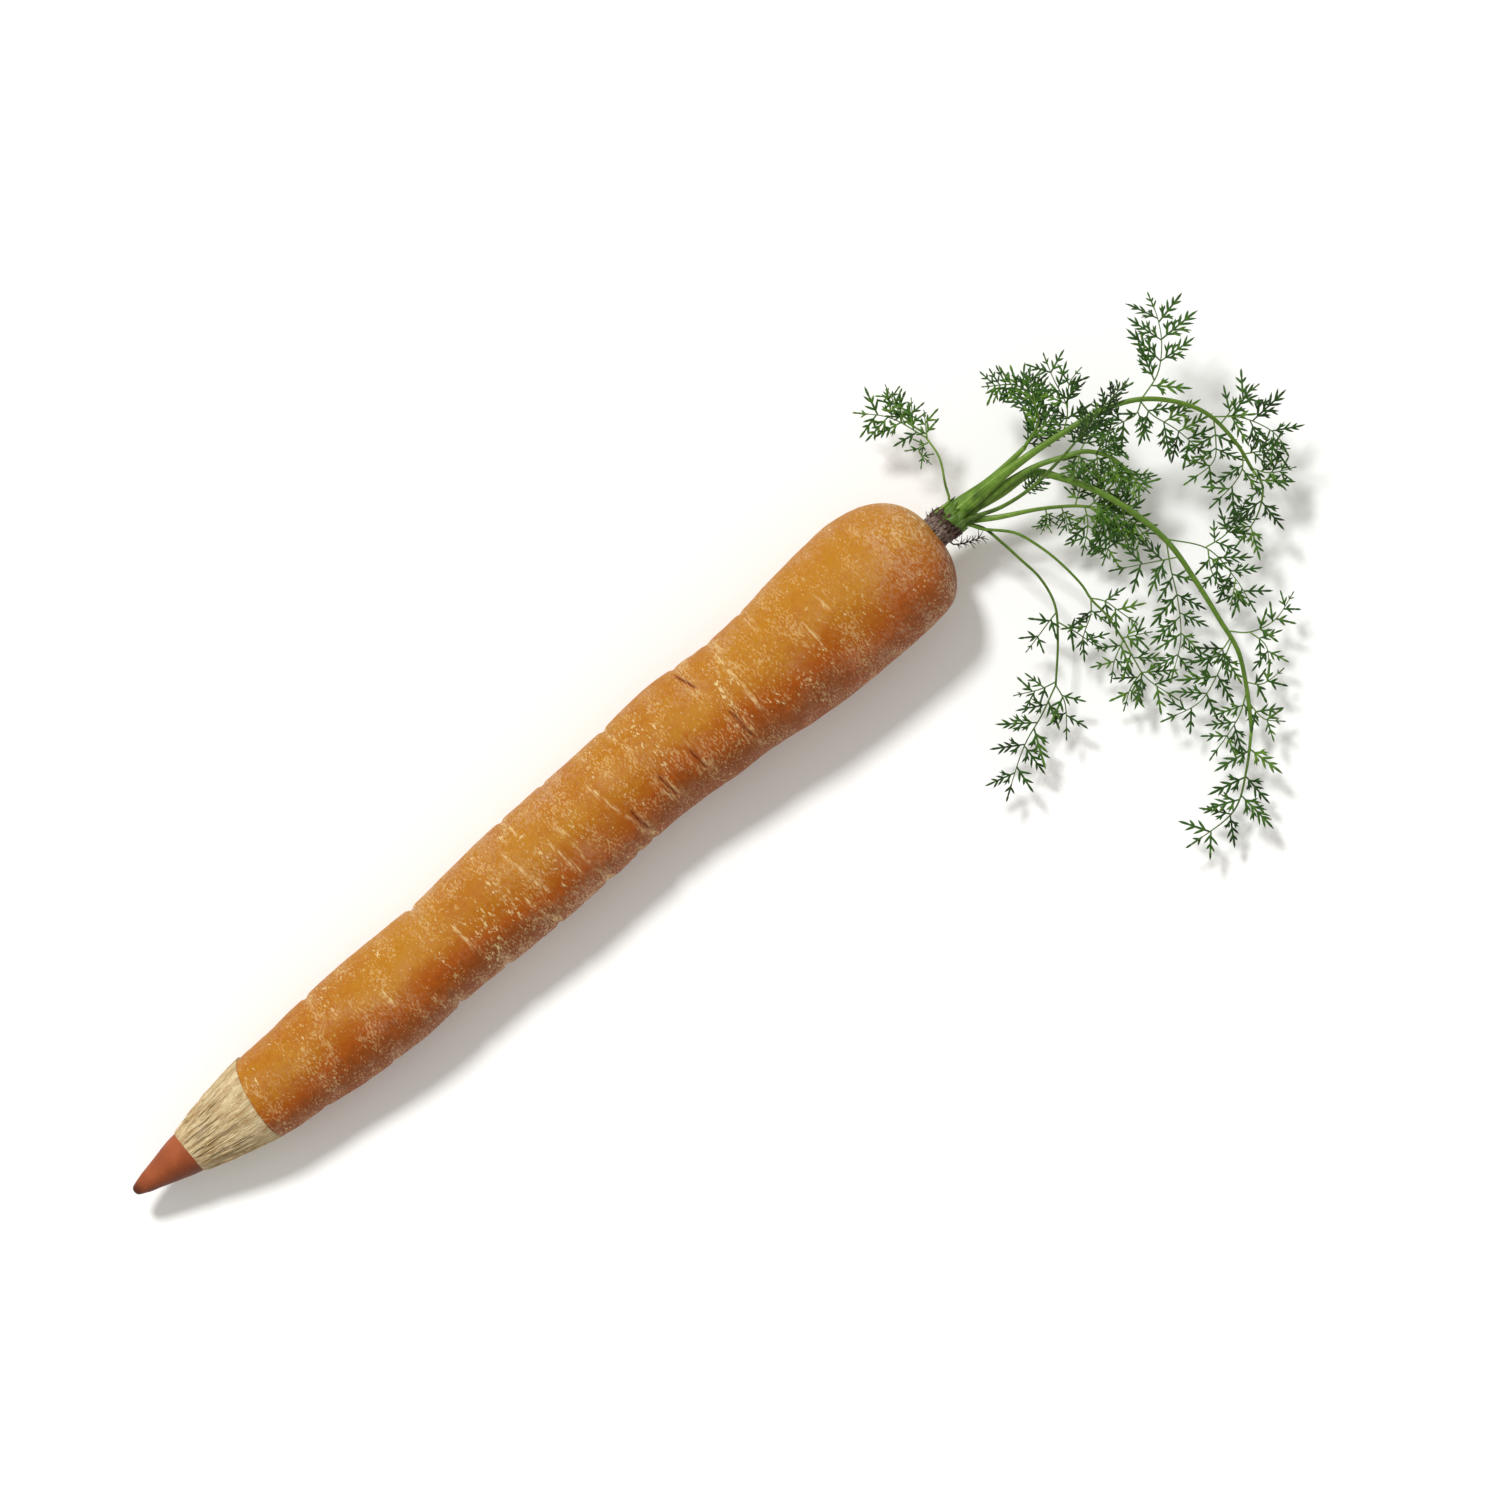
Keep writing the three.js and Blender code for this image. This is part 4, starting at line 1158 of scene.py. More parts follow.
    def mark(self, bm: BMesh) -> None:
        """Writes how scarred, creased, dusty and rusty the skin is at each corner, rust with painted shade.

        Args:
            bm: The spun skin, round the straight axis.
        """
        keys = ("scar", "crease", "bloom", "rust_and_shade")
        scar, crease, bloom, rust_and_shade = (bm.verts.layers.float.new(key) for key in keys)
        draw = random.Random(11)
        ranges = (self.hidden_run, self.hidden_turn, self.hidden_reach)
        behind = [[draw.uniform(*span) for span in ranges] for _ in range(self.hidden_scars)]
        for vert in bm.verts:
            s, angle = vert.co.x, angle_of(vert.co)
            degrees = math.degrees(angle)
            beside = self.beside_share * self.strongest(s + self.beside_crease, angle, self.creases)
            pale = max(beside, self.strongest(s, angle, self.scars))
            for at, middle, reach in behind:
                if abs(s - at) < self.hidden_near:
                    level = self.hidden_level - turn_between(degrees, middle) / reach
                    pale = max(pale, bell(s - at, self.hidden_width) * clamp(level))
            for at, middle, reach, _ in self.notches:
                if abs(s - at) < self.notch_near:
                    level = self.beside_level - turn_between(degrees, middle) / reach
                    pale = max(pale, bell(s - at - self.beside_notch, self.beside_width) * clamp(level))
            vert[scar] = pale
            vert[crease] = self.strongest(s, angle, self.creases)
            vert[bloom] = self.bloom.at(s, angle)
            vert[rust_and_shade] = self.rust_and_shade.at(s, angle)

    def build(self, finish: Material) -> None:
        """Models and delivers the root.

        Args:
            finish: The skin's material.
        """
        bm = spun(self.start, self.line.head_end, self.rings, self.sides, self.profile)
        swell(bm, self.relief)
        self.mark(bm)
        bmesh.ops.edgeloop_fill(bm, edges=self.cut(bm, self.edge_gap, clear_inner=True))
        self.line.lay_down(bm)
        deliver(bm, "skin", [finish], "root")


@dataclass(frozen=True)
class Groove:
    """A torn groove along the sharpened wood."""

    angle: float
    start: float
    length: float
    width: float
    strength: float
    reach: float = 1.0
    waver: float = 0.25
    waver_run: float = 2.5
    waver_step: float = 9.0
    foot_fade: float = 6.0
    head_fade: float = 3.0

    def depth_at(self, s: float, angle: float, radius: float) -> float:
        """How deep the groove is at a place.

        Args:
            s: The place along the wood.
            angle: Its angle, in radians.
            radius: The wood's radius there.

        Returns:
            A depth between 0 and 1.
        """
        share = (s - self.start) / self.length
        away = radius * ((angle - self.angle + math.pi) % TAU - math.pi)
        if not 0 < share < 1 or abs(away) > self.reach:
            return 0.0
        spot = Vector((s / self.waver_run, self.waver_step * self.angle, NOISE_LAYER))
        shown = self.strength * bell(away - self.waver * noise.noise(spot), self.width)
        return shown * clamp(self.foot_fade * share) * clamp(self.head_fade * (1 - share))


@dataclass
class WoodPoint:
    """The sharpened wooden cone, with furrows and splinters."""

    line: RootLine
    skin: RootSkin
    start: float = 13.0
    end: float = 38.0
    rings: int = 150
    sides: int = 320
    grain_radius: float = 7.0
    # The front lip: its run, how far it is drawn in, and how ragged its rim is
    lip: float = 0.55
    lip_depth: float = 0.7
    lip_ragged: float = 0.35
    lip_noise: Span = (5, 4)
    rim_run: float = 0.01
    # Torn grooves: their ranges of start, length, width and strength, and where they fade in
    grooves: int = 72
    groove_ranges: tuple[Span, ...] = ((0, TAU), (12.5, 20), (6, 14), (0.11, 0.24), (0.35, 1.0))
    furrow_depth: float = 0.36
    # The share of a furrow's depth that is painted as shade in it
    painted_furrow_shade: float = 0.85
    furrow_from: float = 0.2
    furrow_run: float = 1.2
    # Ridges along the grain: height, run along the wood and fineness across it
    ridges: tuple[Triple, ...] = ((0.14, 14, 0.9), (0.08, 6, 3.2))
    front_fade: float = 2.0
    back_fade: float = 6.0
    back_at: float = 32.0
    back_least: float = 0.2
    # Painted shade on the flank away from the light: its tone, and its start and run in degrees
    shade: float = 0.3
    painted_shade_from: float = 100.0
    painted_shade_run: float = 60.0
    # Splinters: their ranges of start, angle, length, radius and lift, and their form
    splinters: int = 110
    splinter_ranges: tuple[Span, ...] = ((14.2, 24), (0, TAU), (2.4, 7.0), (0.07, 0.14), (-0.05, 0.25))
    splinter_shape: tuple[Span, ...] = ((0.0, 0.7), (0.35, 1.0), (0.75, 0.6), (1.0, 0.12))
    splinter_sink: float = 0.1
    splinter_bow: float = 0.06
    splinter_broad: float = 1.5
    splinters_turned: float = 0.4

    def profile(self, s: float) -> Span:
        """The wood's s and radius, drawn in at its front lip."""
        return s, self.line.radius(s) - self.lip_depth * bell(s - self.start, self.lip)

    def grain(self, s: float, angle: float) -> Vector:
        """A place in the grain, which is drawn out along the wood."""
        return around(s, angle, self.grain_radius)

    def tear(self) -> list[Groove]:
        """The torn grooves, the same ones each time."""
        draw = random.Random(23)
        return [Groove(*(draw.uniform(*span) for span in self.groove_ranges)) for _ in range(self.grooves)]

    def furrow(self, s: float, angle: float, grooves: Sequence[Groove]) -> float:
        """How deep the torn grooves are at a place, between 0 and 1."""
        deep = max(groove.depth_at(s, angle, self.line.radius(s)) for groove in grooves)
        return deep * clamp((s - self.start - self.furrow_from) / self.furrow_run)

    def relief(self, s: float, angle: float) -> float:
        """How far the wood stands out from its smooth cone at a place.

        Args:
            s: The place along the wood.
            angle: Its angle, in radians.

        Returns:
            The height of the place.
        """
        _, across, rise = self.grain(s, angle)
        fade = clamp((s - self.start) / self.front_fade)
        fade *= clamp((self.back_at - s) / self.back_fade + self.back_least)
        return fade * sum(
            height * noise.noise(Vector((s / run, across * fine, rise * fine)))
            for height, run, fine in self.ridges
        )

    def splinter(self, bm: BMesh, draw: random.Random) -> None:
        """Lays one torn splinter along the cone.

        Args:
            bm: The bmesh that gets it, round the straight axis.
            draw: The source of its place and size.
        """
        s, angle, length, thick, lift = (draw.uniform(*span) for span in self.splinter_ranges)
        sink = self.splinter_sink
        out = around(0, angle, 1)
        foot = Vector((s, 0, 0)) + out * (self.line.radius(s) - sink)
        head = Vector((s + length, 0, 0)) + out * (self.line.radius(s + length) + lift - sink)
        if draw.random() < self.splinters_turned:
            foot, head = head - out * (lift + sink), foot + out * (lift + sink)
        middle = foot.lerp(head, 0.5) + out * self.splinter_bow
        layer = bm.verts.layers.float_vector["grain"]
        for vert in needle(bm, [foot, middle, head], self.splinter_shape, thick, self.splinter_broad):
            vert[layer] = self.grain(vert.co.x, angle)

    def carve(self, bm: BMesh) -> None:
        """Carves the furrows and ragged rim; marks the grain, and painted shade in the furrows and far
        flank.

        Args:
            bm: The spun wood, round the straight axis.
        """
        furrow = bm.verts.layers.float.new("furrow")
        grain = bm.verts.layers.float_vector.new("grain")
        grooves = self.tear()
        swell(bm, self.relief)
        for vert in bm.verts:
            s, angle = vert.co.x, angle_of(vert.co)
            deep = self.furrow(s, angle, grooves)
            # Painted shade in the furrows and on the flank away from the light, held in the furrow value
            shade = self.shade * clamp((math.degrees(angle) % 360 - self.painted_shade_from) / self.painted_shade_run)
            vert[furrow] = max(self.painted_furrow_shade * deep, shade)
            vert[grain] = self.grain(s, angle)
            vert.co -= around(0, angle, 1) * self.furrow_depth * deep
        row, radius = self.lip_noise
        for vert in bm.verts:
            if vert.is_boundary and vert.co.x < self.start + self.rim_run:
                vert.co.x += self.lip_ragged * noise.noise(around(row, angle_of(vert.co), radius))

    def build(self, finish: Material) -> None:
        """Models and delivers the wood.

        Args:
            finish: The wood's material.
        """
        bm = spun(self.start, self.end, self.rings, self.sides, self.profile)
        self.carve(bm)
        self.skin.cut(bm, 0.0, clear_outer=True)
        close_holes(bm)
        draw = random.Random(5)
        slivers = bmesh.new()
        slivers.verts.layers.float_vector.new("grain")
        for _ in range(self.splinters):
            self.splinter(slivers, draw)
        join(bm, slivers)
        self.line.lay_down(bm)
        deliver(bm, "sharpened_wood", [finish], "wood_point")


@dataclass
class ColourCore:
    """The colour core's blunt tip."""

    line: RootLine
    end: float = 16.0
    rings: int = 90
    sides: int = 72
    outline: Stations = Stations((
        (0, 0), (0.12, 0.55), (0.5, 1.0), (1.3, 1.36), (3, 1.98), (5.5, 2.66), (8, 3.34), (10, 3.9),
        (12, 4.42), (14, 4.7), (16, 4.75),
    ))
    # Wear of the surface: its run along the core, its radius round it, and fineness and height
    wear_run: float = 2.4
    wear_radius: float = 1.6
    wear: tuple[Span, ...] = ((1, 0.06), (4, 0.02))
    wear_fade: float = 3.0
    # Dark places: the tip, and painted shade on the far flank, with the flank's start and run in degrees
    tip_tone: float = 0.9
    tip_run: float = 2.0
    painted_flank_shade: float = 0.6
    flank_from: float = 88.0
    flank_run: float = 60.0

    def profile(self, place: float) -> Span:
        """The core's s and radius at a place from 0 to 1, whose rings crowd towards the tip."""
        s = self.end * place * place
        return s, self.outline.at(s)

    def relief(self, s: float, angle: float) -> float:
        """Slight wear of the sharpened pigment."""
        ring = around(s / self.wear_run, angle, self.wear_radius)
        return clamp(s / self.wear_fade) * sum(high * noise.noise(ring * fine) for fine, high in self.wear)

    def build(self, finish: Material) -> None:
        """Models and delivers the core.

        Args:
            finish: The pigment's material.
        """
        bm = spun(0, 1, self.rings, self.sides, self.profile)
        worn = bm.verts.layers.float.new("worn")
        for vert in bm.verts:
            # The worn value: the dark tip, and painted shade on the flank away from the light
            degrees = math.degrees(angle_of(vert.co)) % 360
            flank = clamp((degrees - self.flank_from) / self.flank_run)
            vert[worn] = max(self.tip_tone * bell(vert.co.x, self.tip_run), self.painted_flank_shade * flank)
        swell(bm, self.relief)
        close_holes(bm)
        self.line.lay_down(bm)
        deliver(bm, "core_tip", [finish], "colour_core")


class LeafCut(Enum):
    """How finely a leaflet is cut: its pairs of side lobes."""

    THREE_LOBED = 1
    FIVE_LOBED = 2
    SEVEN_LOBED = 3
    NINE_LOBED = 4
    ELEVEN_LOBED = 5

    @property
    def length(self) -> float:
        """The length that such a leaflet is cut at."""
        end_lobe, pair = 1.4, 2.0
        return end_lobe + pair * self.value


class Shade(Enum):
    """A frond's greens: the tones of its stalk, of its ribs and of its leaflets."""

    BRIGHT = (0.4, 0.1, 0.34)
    FRESH = (0.38, 0.18, 0.44)
    OLIVE = (0.32, 0.1, 0.36)
    DARK = (0.2, 0.08, 0.26)


@dataclass(frozen=True)
class Spray:
    """A feather of leaflets on a rib.

    The rib starts where its frond is nearest to the first point, and its bare share has no leaflets.
    The roll is the feather's turn about the rib in degrees, or none for a slight turn to either side.
    """

    leaf: float
    points: tuple[Point, ...]
    bare: float = 0.1
    roll: float | None = None


@dataclass(frozen=True)
class FrondPlan:
    """A frond's stalk and sprays, in the fronds' frame, with heights above the floor.

    The seat lies sideways and upwards from the crown's middle, and the sheath broadens the stalk near it.
    The first spray is at the stalk's tip. Crowding is the leaflets' spacing, as a share of the usual one.
    """

    node: str
    seat: Span
    radii: Span
    shade: Shade
    route: tuple[Point, ...]
    sprays: tuple[Spray, ...]
    sheath: float = 0.0
    crowding: float = 1.0


FROND_PLANS = (
    FrondPlan(
        "frond_small_left", (2.9, 1.6), (0.3, 0.2), Shade.FRESH,
        ((1.4, 9, 17), (0.2, 14.4, 17.5), (-2.4, 18.4, 16.5)),
        (
            Spray(4.6, ((-2.4, 18.4, 16.5), (-9.6, 22.4, 13.5), (-16.2, 23.4, 10))),
            Spray(2.5, ((-6.6, 21, 15), (-10.4, 28.6, 13))),
            Spray(2.5, ((-5.2, 20, 15.5), (-5.4, 26, 14.5))),
            Spray(2.5, ((-2.2, 18, 16.6), (-2.8, 23.4, 16))),
            Spray(2, ((-2, 17.6, 16.8), (-4, 16, 15.5), (-1.8, 13.4, 14.5))),
        ),
        crowding=0.62,
    ),
    FrondPlan(
        "frond_upper_left", (1.5, 0), (0.8, 0.45), Shade.BRIGHT,
        ((9.4, 9, 16), (14.8, 14, 19), (17.2, 16.4, 20)),
        (
            Spray(3.6, ((17.2, 16.4, 20), (20, 22, 21.5), (16.4, 28.4, 20), (9, 28.6, 15.5))),
            Spray(4, ((17, 16, 20), (21.4, 21, 19.5), (23.8, 24.4, 18))),
            Spray(3, ((19.6, 24, 21.3), (18.8, 27.6, 21), (18, 31.5, 20))),
        ),
        sheath=0.9, crowding=0.36,
    ),
    FrondPlan(
        "frond_top_arch", (0.2, 2.2), (0.95, 0.35), Shade.BRIGHT,
        (
            (10.4, 9, 18.5), (18.4, 15, 21.5), (25.4, 19.6, 23.5), (32.4, 23.6, 24.5), (39.4, 25.8, 24.5),
            (46.4, 25.6, 23.5), (53.4, 23.2, 21), (59.4, 17.4, 17.5), (62.8, 12, 14.5),
        ),
        (
            Spray(5.4, ((62.8, 12, 14.5), (64.8, 9, 13.8), (64, 3.4, 12.6), (60, -3, 11.5))),
            Spray(6.4, (
                (40.4, 26.2, 24.5), (43.6, 31, 26), (44.4, 37, 25.5), (43.6, 42.2, 24), (42, 46.4, 22),
            )),
            Spray(4.5, ((40.4, 25.6, 24.5), (39.4, 23, 23.8), (34.4, 20, 23), (31.8, 15.6, 22.6))),
            Spray(5.4, ((39.8, 25.6, 24.5), (42.4, 23, 23), (47.4, 20, 19.5), (53.4, 15, 15))),
            Spray(4, ((56.4, 20.8, 19.6), (60, 25.6, 20.2), (63.6, 28.8, 19))),
            Spray(5.4, ((54.4, 22.6, 20.6), (61, 22.2, 20), (67.4, 19, 18), (69.4, 15.6, 16))),
            Spray(5, ((55, 22, 20.2), (55.4, 18, 18), (55, 13.6, 15), (50, 9.6, 12))),
            Spray(5, ((60.8, 15.4, 16.4), (60.8, 12.4, 15), (59.4, 9.6, 13.5), (55, 5, 12))),
            Spray(3, ((62.6, 12.4, 14.7), (66, 11.4, 13.8), (71, 12.4, 13))),
            Spray(3, ((61, 15, 16.2), (66.4, 16, 15), (69.8, 16.2, 14))),
            Spray(4, ((24.8, 19.2, 23.4), (25.6, 24, 25.5), (22.8, 30, 26.5), (21, 34.4, 26))),
            Spray(3, ((25.6, 24, 25.5), (26, 29, 26.5), (28, 31.8, 26.5))),
        ),
        sheath=0.9, crowding=0.76,
    ),
    FrondPlan(
        "frond_dark_spike", (-1.9, 2.3), (0.55, 0.3), Shade.DARK,
        ((12.4, 4.4, 19.5), (18.4, 8.2, 23.5), (22, 11.6, 26), (25.6, 15.4, 28)),
        (
            Spray(3.4, ((25.6, 15.4, 28), (29.4, 20, 30), (33.4, 25, 31.8), (37.4, 29.2, 33)), roll=60),
            Spray(1.9, ((16.6, 7, 22.4), (19.2, 9.2, 24.2), (20.8, 11.4, 25.4))),
        ),
        crowding=0.36,
    ),
    FrondPlan(
        "frond_mid_curl", (-1.2, 0), (0.8, 0.4), Shade.FRESH,
        (
            (12.4, 8.4, 17.5), (19.4, 12.6, 19.5), (25.4, 14.6, 20.5), (29.4, 15.6, 20.5),
            (34.4, 14.4, 19.5), (38, 11.6, 17.8),
        ),
        (
            Spray(3.2, ((38, 11.6, 17.8), (39.8, 9.4, 17.2), (42, 7.6, 16.8))),
            Spray(2.7, ((28.4, 15.4, 20.5), (27.6, 12.4, 19.7), (26.8, 10, 19.2))),
            Spray(2.7, ((31.4, 15.2, 20.2), (32, 10, 18.8))),
            Spray(2.7, ((34, 14.4, 19.5), (35.4, 9, 18.2))),
            Spray(2.7, ((36, 13.2, 18.8), (38, 8, 17.4))),
            Spray(4, ((28.4, 15.4, 20.5), (30.4, 20, 20), (32.4, 24, 18.5))),
            Spray(3, ((31.2, 15.4, 20.3), (33.8, 16.8, 20), (37.4, 17.4, 19))),
        ),
        sheath=0.7, crowding=0.36,
    ),
    FrondPlan(
        "frond_main_droop", (0.1, -2.3), (0.95, 0.4), Shade.BRIGHT,
        (
            (12.4, 7.6, 15), (18.8, 11.4, 16.5), (24.4, 10.4, 17), (32.4, 7.4, 16.3), (40.4, 2.4, 15),
            (46.4, -3, 13), (51.4, -10, 10.5), (56.4, -18, 8), (60, -24, 6.4), (61.6, -30.4, 5),
            (62.4, -36, 4), (62.8, -40, 3.4),
        ),
        (
            Spray(5.4, ((62.8, -40, 3.4), (61.8, -48, 2.8), (59.4, -56, 2.4), (50.8, -63, 2.2))),
            Spray(4.5, (
                (45, -1.8, 13.4), (54, -3.8, 9.5), (59.6, -9.8, 6.5), (63.2, -15.6, 4.4),
            ), bare=0.45),
            Spray(3.4, ((53.6, -3.6, 9.7), (57.4, -1, 8.2), (60.4, 3, 6.6), (61.4, 5.6, 6))),
            Spray(3.4, ((54, -3.8, 9.5), (54.6, -7.8, 7.5), (56.6, -12, 6))),
            Spray(3, ((59.6, -9.8, 6.5), (58.6, -15.4, 5))),
            Spray(5, ((48.4, -5.6, 12), (43, -6.4, 10.2), (35.2, -8, 8))),
            Spray(5, (
                (45.6, -2.2, 13.2), (46.6, -8, 10), (48, -14, 7.5), (48.6, -22, 5.8), (46.8, -29.6, 5.2),
            ), bare=0.2),
            Spray(4, ((58.4, -21.4, 7.1), (56.4, -24.4, 6.3), (53.4, -25.6, 5.6), (49.6, -26.6, 5))),
            Spray(5, ((58.8, -22, 7), (55.6, -29.6, 5.2), (52.4, -34.4, 4.6), (45.6, -38, 4.2))),
            Spray(3, ((57.8, -20.2, 7.4), (62.4, -20.4, 6.2), (67.4, -18, 5), (71, -12.8, 4)), bare=0.35),
            Spray(3.4, ((62.4, -20.4, 6.2), (65.6, -23, 5), (66.4, -27.4, 4))),
            Spray(3, ((61.6, -30.4, 5), (64.8, -30.8, 4.4), (69, -28, 3.6))),
            Spray(3.4, ((62.2, -34.6, 4.2), (65.4, -37.8, 3.4), (69, -38.2, 3))),
            Spray(4.4, ((61.8, -32, 4.7), (60.4, -37, 3.8), (58, -41, 3.2), (54.8, -45.4, 2.8))),
        ),
        sheath=0.9, crowding=0.84,
    ),
    FrondPlan(
        "frond_low_right", (-2.3, -2), (0.55, 0.3), Shade.FRESH,
        ((12.4, 2.6, 13), (20.4, 4.2, 12), (27.4, 4.8, 11), (30.4, 4.6, 10.5)),
        (
            Spray(4.2, ((30.4, 4.6, 10.5), (33.2, 2.2, 8.6), (34.4, -2, 5.8), (33.2, -6.4, 3.4))),
            Spray(4, ((29.4, 4.6, 10.7), (30, 1, 8), (29, -4.4, 5))),
            Spray(3.8, ((30.2, 4.6, 10.5), (35.8, 2.4, 8.8), (38.2, -3, 6))),
            Spray(2, ((24.4, 4.6, 11.4), (25.6, 2, 10.5), (26.4, -0.4, 9.8))),
            Spray(2, ((21.4, 4.4, 11.9), (21.8, 2, 11.4), (20.8, -0.4, 11))),
            Spray(3.4, ((29.8, 4.7, 10.6), (38.4, 2, 9.5), (42.4, -2.6, 7.6))),
            Spray(3, ((27.4, 4.8, 11), (28.4, 8.4, 11.4), (29.6, 12.4, 12))),
            Spray(3.4, ((30.2, 4.6, 10.5), (33, 7.6, 10.8), (34.4, 12, 11.4))),
            Spray(3.4, ((30.4, 4.6, 10.5), (36, 5, 10.6), (40, 6.6, 10.6))),
        ),
        sheath=0.4, crowding=0.48,
    ),
    FrondPlan(
        "frond_thin_inner", (-3, -0.5), (0.36, 0.22), Shade.DARK,
        (
            (9, 0.4, 12.6), (12.6, -2.4, 12.4), (16.6, -6, 11.5), (20.4, -9.6, 10), (23.4, -15, 8),
            (24, -22, 6), (23.6, -31, 4),
        ),
        (
            Spray(5, ((23.6, -31, 4), (20.8, -37, 3.2), (17.4, -43, 2.7), (14, -53.2, 2.2))),
            Spray(3, ((23.8, -16.4, 7.6), (22, -18.6, 6.6), (20.4, -20.8, 6), (18, -24, 5))),
            Spray(3.4, ((23.9, -18.6, 6.9), (27.6, -20.4, 4.4), (30, -22, 3), (33, -24, 2))),
            Spray(3, ((23.6, -30.4, 4.1), (20.6, -31.8, 3.8), (15.6, -33, 3))),
            Spray(4, ((23.6, -30.8, 4), (25.4, -34.4, 3.4), (25.8, -41.2, 2.6))),
        ),
    ),
    FrondPlan(
        "frond_thin_outer", (-3, 0.9), (0.36, 0.22), Shade.OLIVE,
        (
            (8.6, 0.2, 14.9), (15.4, -0.6, 13.4), (19.8, -3, 11.8), (23.8, -6, 10), (28.8, -11, 7.5),
            (30.8, -14, 6.5), (33.6, -16.8, 5.5), (37.4, -22.4, 4),
        ),
        (
            Spray(4.4, ((37.4, -22.4, 4), (39.4, -26, 3.2), (41.6, -29.4, 2.6), (47.6, -33.6, 2))),
            Spray(3.8, ((30.6, -13.6, 6.6), (33.4, -14.2, 6.3), (36, -16, 5.6), (39.4, -18.4, 4.8))),
            Spray(3.4, ((30.6, -13.8, 6.5), (30.6, -16.8, 6.9), (29.4, -20.2, 6.9), (28.6, -23.4, 6.5))),
            Spray(3.8, ((37, -21.8, 4.1), (35.4, -26, 3.8), (34.8, -29.8, 3.4))),
            Spray(3, ((36.8, -21.6, 4.2), (42.4, -20.4, 3.4))),
            Spray(3.4, ((40.8, -28.4, 2.8), (38.6, -31.6, 2.4), (37.4, -35.6, 2.2))),
        ),
    ),
)


@dataclass
class LeafPress:
    """Cuts a few leaflets of each kind, to be set along the ribs."""

    thickness: float = 0.12
    kinds: int = 5
    rib_width: float = 0.4
    rib_share: float = 0.95
    cells: tuple[int, int] = (3, 1)
    # Side lobes: their feet along the leaflet, their length and width, and their turns in radians
    feet_from: float = 0.16
    feet_run: float = 0.66
    foot_jitter: float = 0.2
    lobe_share: float = 0.34
    lobe_least: float = 0.4
    lobe_taper: float = 0.5
    lobe_lengths: Span = (0.8, 1.15)
    lobe_width: float = 0.35
    lobe_widening: float = 0.02
    lobe_droop: float = 0.1
    lobe_angle: float = math.radians(40)
    lobe_closing: float = 0.2
    lobe_angles: Span = (0.85, 1.15)
    lobe_twist: float = 0.3
    # Forks: their places along a lobe and their turns, and which lobes have them
    forks: tuple[Span, ...] = ((0.3, 0.5), (0.45, -0.5))
    fork_length: float = 0.5
    fork_width: float = 0.85
    forked_pairs: int = 3
    forked_below: float = 0.3
    # The end lobe: its foot, and its share of the leaflet's length with what is added to that
    end_foot: float = 0.7
    end_share: float = 0.3
    end_least: float = 0.3
    pressed: dict[LeafCut, list[Mesh]] = field(default_factory=dict)

    def press(self) -> None:
        """Cuts all the leaflets."""
        draw = random.Random(3)
        for cut in LeafCut:
            self.pressed[cut] = [self.leaflet(cut, draw) for _ in range(self.kinds)]

    def lobe(self, bm: BMesh, place: Matrix, length: float, width: float, forked: bool) -> None:
        """Cuts one narrow lobe, which may fork.

        Args:
            bm: The bmesh that gets the lobe.
            place: Where its root goes, pointing along X.
            length: Its length.
            width: Its greatest width.
            forked: Whether it has a smaller lobe on each side.
        """
        blade(bm, place, length, width, self.lobe_droop * length, self.cells)
        if forked:
            small = self.fork_length * length
            for share, turn in self.forks:
                fork = place @ Matrix.Translation((share * length, 0, 0)) @ Matrix.Rotation(turn, 4, "Z")
                blade(bm, fork, small, self.fork_width * width, self.lobe_droop * small, self.cells)

    def leaflet(self, cut: LeafCut, draw: random.Random) -> Mesh:
        """Cuts one leaflet along X: a slim midrib, pairs of narrow lobes and an end lobe.

        Args:
            cut: How finely it is cut.
            draw: The source of its small differences.

        Returns:
            The leaflet's mesh, in millimetres.
        """
        bm = blank("tone", "ridge")
        length = cut.length
        width = self.lobe_width + self.lobe_widening * length
        blade(bm, Matrix.Identity(4), self.rib_share * length, self.rib_width, 0.0, self.cells)
        for i in range(cut.value):
            share = i / cut.value
            full = (self.lobe_share * length + self.lobe_least) * (1 - self.lobe_taper * share)
            forked = cut.value >= self.forked_pairs and share < self.forked_below
            for side in (1, -1):
                foot = length * (self.feet_from + self.feet_run * share)
                foot += draw.uniform(-self.foot_jitter, self.foot_jitter)
                turn = self.lobe_angle - self.lobe_closing * share
                turn *= side * draw.uniform(*self.lobe_angles)
                place = Matrix.Translation((foot, 0, 0)) @ Matrix.Rotation(turn, 4, "Z")
                place = place @ Matrix.Rotation(draw.uniform(-self.lobe_twist, self.lobe_twist), 4, "X")
                self.lobe(bm, place, full * draw.uniform(*self.lobe_lengths), width, forked)
        end = Matrix.Translation((self.end_foot * length, 0, 0))
        self.lobe(bm, end, self.end_share * length + self.end_least, width, False)
        bmesh.ops.solidify(bm, geom=bm.faces[:], thickness=self.thickness)
        for face in bm.faces:
            face.material_index = 1
        return mesh_of(bm, f"pressed_{cut.name.lower()}")

    def pick(self, length: float, draw: random.Random) -> tuple[Mesh, float]:
        """Picks a leaflet for a length.

        Args:
            length: The length that is wanted.
            draw: The source of the choice.

        Returns:
            The leaflet's mesh and the scale that gives it the length.
        """
        cut = min(LeafCut, key=lambda kind: abs(kind.length - length))
        return draw.choice(self.pressed[cut]), length / cut.length

    def clear(self) -> None:
        """Throws the cut leaflets away once they are set."""
        for meshes in self.pressed.values():
            for mesh in meshes:
                bpy.data.meshes.remove(mesh)
        self.pressed.clear()


